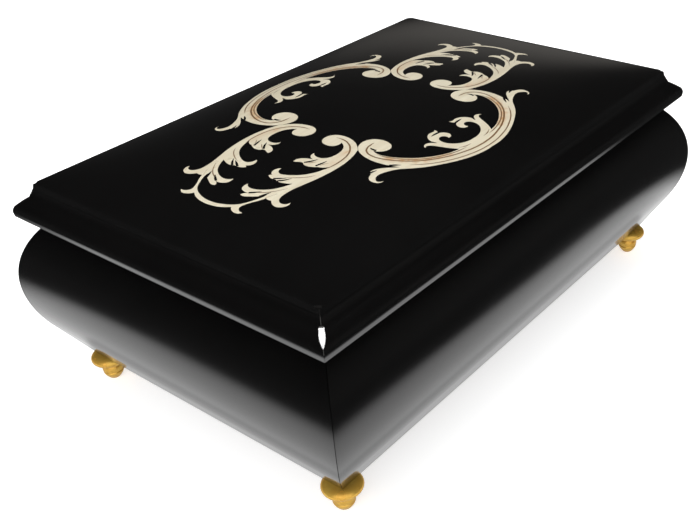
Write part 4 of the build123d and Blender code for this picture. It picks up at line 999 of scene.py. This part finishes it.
def studioFloor():
    look = floorLook
    bm = bmesh.new()
    bmesh.ops.create_grid(bm, x_segments=2, y_segments=2, size=look["halfSize"])
    mesh = bpy.data.meshes.new("floor")
    bm.to_mesh(mesh)
    bm.free()
    floor = bpy.data.objects.new("floor", mesh)
    bpy.context.scene.collection.objects.link(floor)
    material = bpy.data.materials.new("paleFloor")
    material.use_nodes = True
    tree = material.node_tree
    tree.nodes.clear()
    rays = addNode(tree, "ShaderNodeLightPath").outputs
    matt = addNode(tree, "ShaderNodeBsdfDiffuse", {"Color": look["colour"]}).outputs[0]
    seen = combine(tree, "MAXIMUM", rays["Is Camera Ray"], rays["Is Transmission Ray"])
    seen = combine(tree, "MULTIPLY", seen, look["cameraGlow"])
    glow = addNode(tree, "ShaderNodeEmission", {"Strength": seen}).outputs[0]
    lit = addNode(tree, "ShaderNodeAddShader", {0: matt, 1: glow}).outputs[0]
    # how far a point of the floor lies from the box's own outline
    place = addNode(tree, "ShaderNodeTexCoord").outputs["Object"]
    parts = addNode(tree, "ShaderNodeSeparateXYZ", {0: place}).outputs
    squares = []
    for part, half in ((parts[0], look["halfLength"]), (parts[1], look["halfWidth"])):
        gap = combine(tree, "SUBTRACT", combine(tree, "ABSOLUTE", part), half)
        squares.append(combine(tree, "POWER", combine(tree, "MAXIMUM", gap, 0.0), 2.0))
    away = combine(tree, "SQRT", combine(tree, "ADD", *squares))
    dim = remap(tree, parts[0], look["dimFrom"], look["dimTo"], 0.0, look["dimSide"], True)
    narrow = combine(tree, "ADD", dim, 1.0)
    # the mirrored floor is a painted glow, bright near the box and dim further out
    strength = remap(tree, combine(tree, "MULTIPLY", away, narrow), look["nearEdge"],
                     look["farEdge"], look["nearGlow"], look["farGlow"], True)
    # a painted shadow darkens the glow where the floor meets the box
    shade = remap(tree, away, 0.0, look["shadeWidth"], look["footShade"], 1.0, True)
    strength = combine(tree, "MULTIPLY", strength, shade)
    mirrored = addNode(tree, "ShaderNodeEmission", {"Strength": strength}).outputs[0]
    surface = addNode(tree, "ShaderNodeMixShader",
                      {0: rays["Is Glossy Ray"], 1: lit, 2: mirrored}).outputs[0]
    addNode(tree, "ShaderNodeOutputMaterial", {"Surface": surface})
    mesh.materials.append(material)


studioFloor()

# Camera and transmission rays see white, glossy rays a dim room with pale patches

roomLook = {"ambient": 0.34, "horizon": 0.025, "overhead": 0.009, "fadeHeight": 0.4,
            "white": (1, 1, 1, 1),
            "patches": [
                {"azimuth": 33.0, "elevation": 2.0, "inner": 4.0, "outer": 17.0,
                 "colour": (1.0, 0.94, 0.86, 1), "strength": 0.135},
                {"azimuth": -56.0, "elevation": 8.0, "inner": 5.0, "outer": 28.0,
                 "colour": (1.0, 0.97, 0.93, 1), "strength": 0.035},
                {"azimuth": -137.0, "elevation": 26.0, "inner": 30.0, "outer": 56.0,
                 "colour": (1.0, 0.98, 0.94, 1), "strength": 1.1},
            ]}


def bearing(place):
    # a unit vector away from the box, counted from +X towards +Y
    azimuth, elevation = radians(place["azimuth"]), radians(place["elevation"])
    return Vector((cos(azimuth) * cos(elevation), sin(azimuth) * cos(elevation), sin(elevation)))


def background(tree, colour, strength):
    inputs = {"Color": colour, "Strength": strength}
    return addNode(tree, "ShaderNodeBackground", inputs).outputs[0]


def studioRoom():
    look = roomLook
    world = bpy.data.worlds.new("studio")
    bpy.context.scene.world = world
    world.use_nodes = True
    tree = world.node_tree
    tree.nodes.clear()
    rays = addNode(tree, "ShaderNodeLightPath").outputs
    way = addNode(tree, "ShaderNodeTexCoord").outputs["Generated"]
    up = addNode(tree, "ShaderNodeSeparateXYZ", {0: way}).outputs[2]
    dim = remap(tree, up, 0.0, look["fadeHeight"], look["horizon"], look["overhead"], True)
    light = addNode(tree, "ShaderNodeCombineColor", {0: dim, 1: dim, 2: dim}).outputs[0]
    for patch in look["patches"]:
        near = addNode(tree, "ShaderNodeVectorMath", {0: way, 1: bearing(patch)},
                       operation="DOT_PRODUCT").outputs["Value"]
        mask = remap(tree, near, cos(radians(patch["outer"])), cos(radians(patch["inner"])),
                     0.0, patch["strength"], True)
        light = mixColour(tree, mask, light, patch["colour"], blend_type="ADD",
                          clamp_factor=False)
    mirrored = background(tree, light, 1.0)
    soft = background(tree, look["white"], look["ambient"])
    plain = background(tree, look["white"], 1.0)
    rest = addNode(tree, "ShaderNodeMixShader",
                   {0: rays["Is Glossy Ray"], 1: soft, 2: mirrored}).outputs[0]
    seen = combine(tree, "MAXIMUM", rays["Is Camera Ray"], rays["Is Transmission Ray"])
    both = addNode(tree, "ShaderNodeMixShader", {0: seen, 1: rest, 2: plain}).outputs[0]
    addNode(tree, "ShaderNodeOutputWorld", {"Surface": both})


studioRoom()

lampLooks = {
    "overheadSoft": {"azimuth": 60.0, "elevation": 80.0, "distance": 1.5, "side": 1.4,
                     "power": 8.5, "glossy": False},
    "cameraSide": {"azimuth": -150.0, "elevation": 40.0, "distance": 1.6, "side": 1.0,
                   "power": 9.0, "glossy": False},
    "overheadGlint": {"azimuth": -137.0, "elevation": 89.0, "distance": 1.6, "side": 0.34,
                      "power": 11.0, "glossy": True},
}
lampAim = (0, 0, 0.05)


def addLamp(name, look):
    data = bpy.data.lights.new(name, "AREA")
    data.shape = "RECTANGLE"
    data.size = data.size_y = look["side"]
    data.energy = look["power"]
    away = bearing(look)
    place = Matrix.Translation(away * look["distance"] + Vector(lampAim))
    lamp = bpy.data.objects.new(name, data)
    lamp.matrix_world = place @ away.to_track_quat("Z", "Y").to_matrix().to_4x4()
    lamp.visible_glossy = look["glossy"]
    lamp.visible_camera = False
    bpy.context.scene.collection.objects.link(lamp)


for name, look in lampLooks.items():
    addLamp(name, look)

cameraPlace = {"location": (-0.3357, -0.3027, 0.3095), "azimuth": -51.731,
               "elevation": 32.405, "roll": -2.405, "lens": 50.30, "sensor": 36.0,
               "shift": (-0.1327, 0.0102), "clipStart": 0.01}


def addCamera(place):
    azimuth, elevation, roll = (radians(place[key]) for key in ("azimuth", "elevation", "roll"))
    back = Vector((sin(azimuth) * cos(elevation), -cos(azimuth) * cos(elevation),
                   sin(elevation)))
    right = Vector((0, 0, 1)).cross(back).normalized()
    up = back.cross(right)
    tilted = (right * cos(roll) + up * sin(roll), up * cos(roll) - right * sin(roll), back)
    data = bpy.data.cameras.new("camera")
    data.lens = place["lens"]
    data.sensor_width = place["sensor"]
    data.shift_x, data.shift_y = place["shift"]
    data.clip_start = place["clipStart"]
    camera = bpy.data.objects.new("camera", data)
    facing = Matrix(tilted).transposed().to_4x4()
    camera.matrix_world = Matrix.Translation(place["location"]) @ facing
    bpy.context.scene.collection.objects.link(camera)
    bpy.context.scene.camera = camera


addCamera(cameraPlace)
bpy.context.scene.view_settings.view_transform = "Standard"
print("studio set")
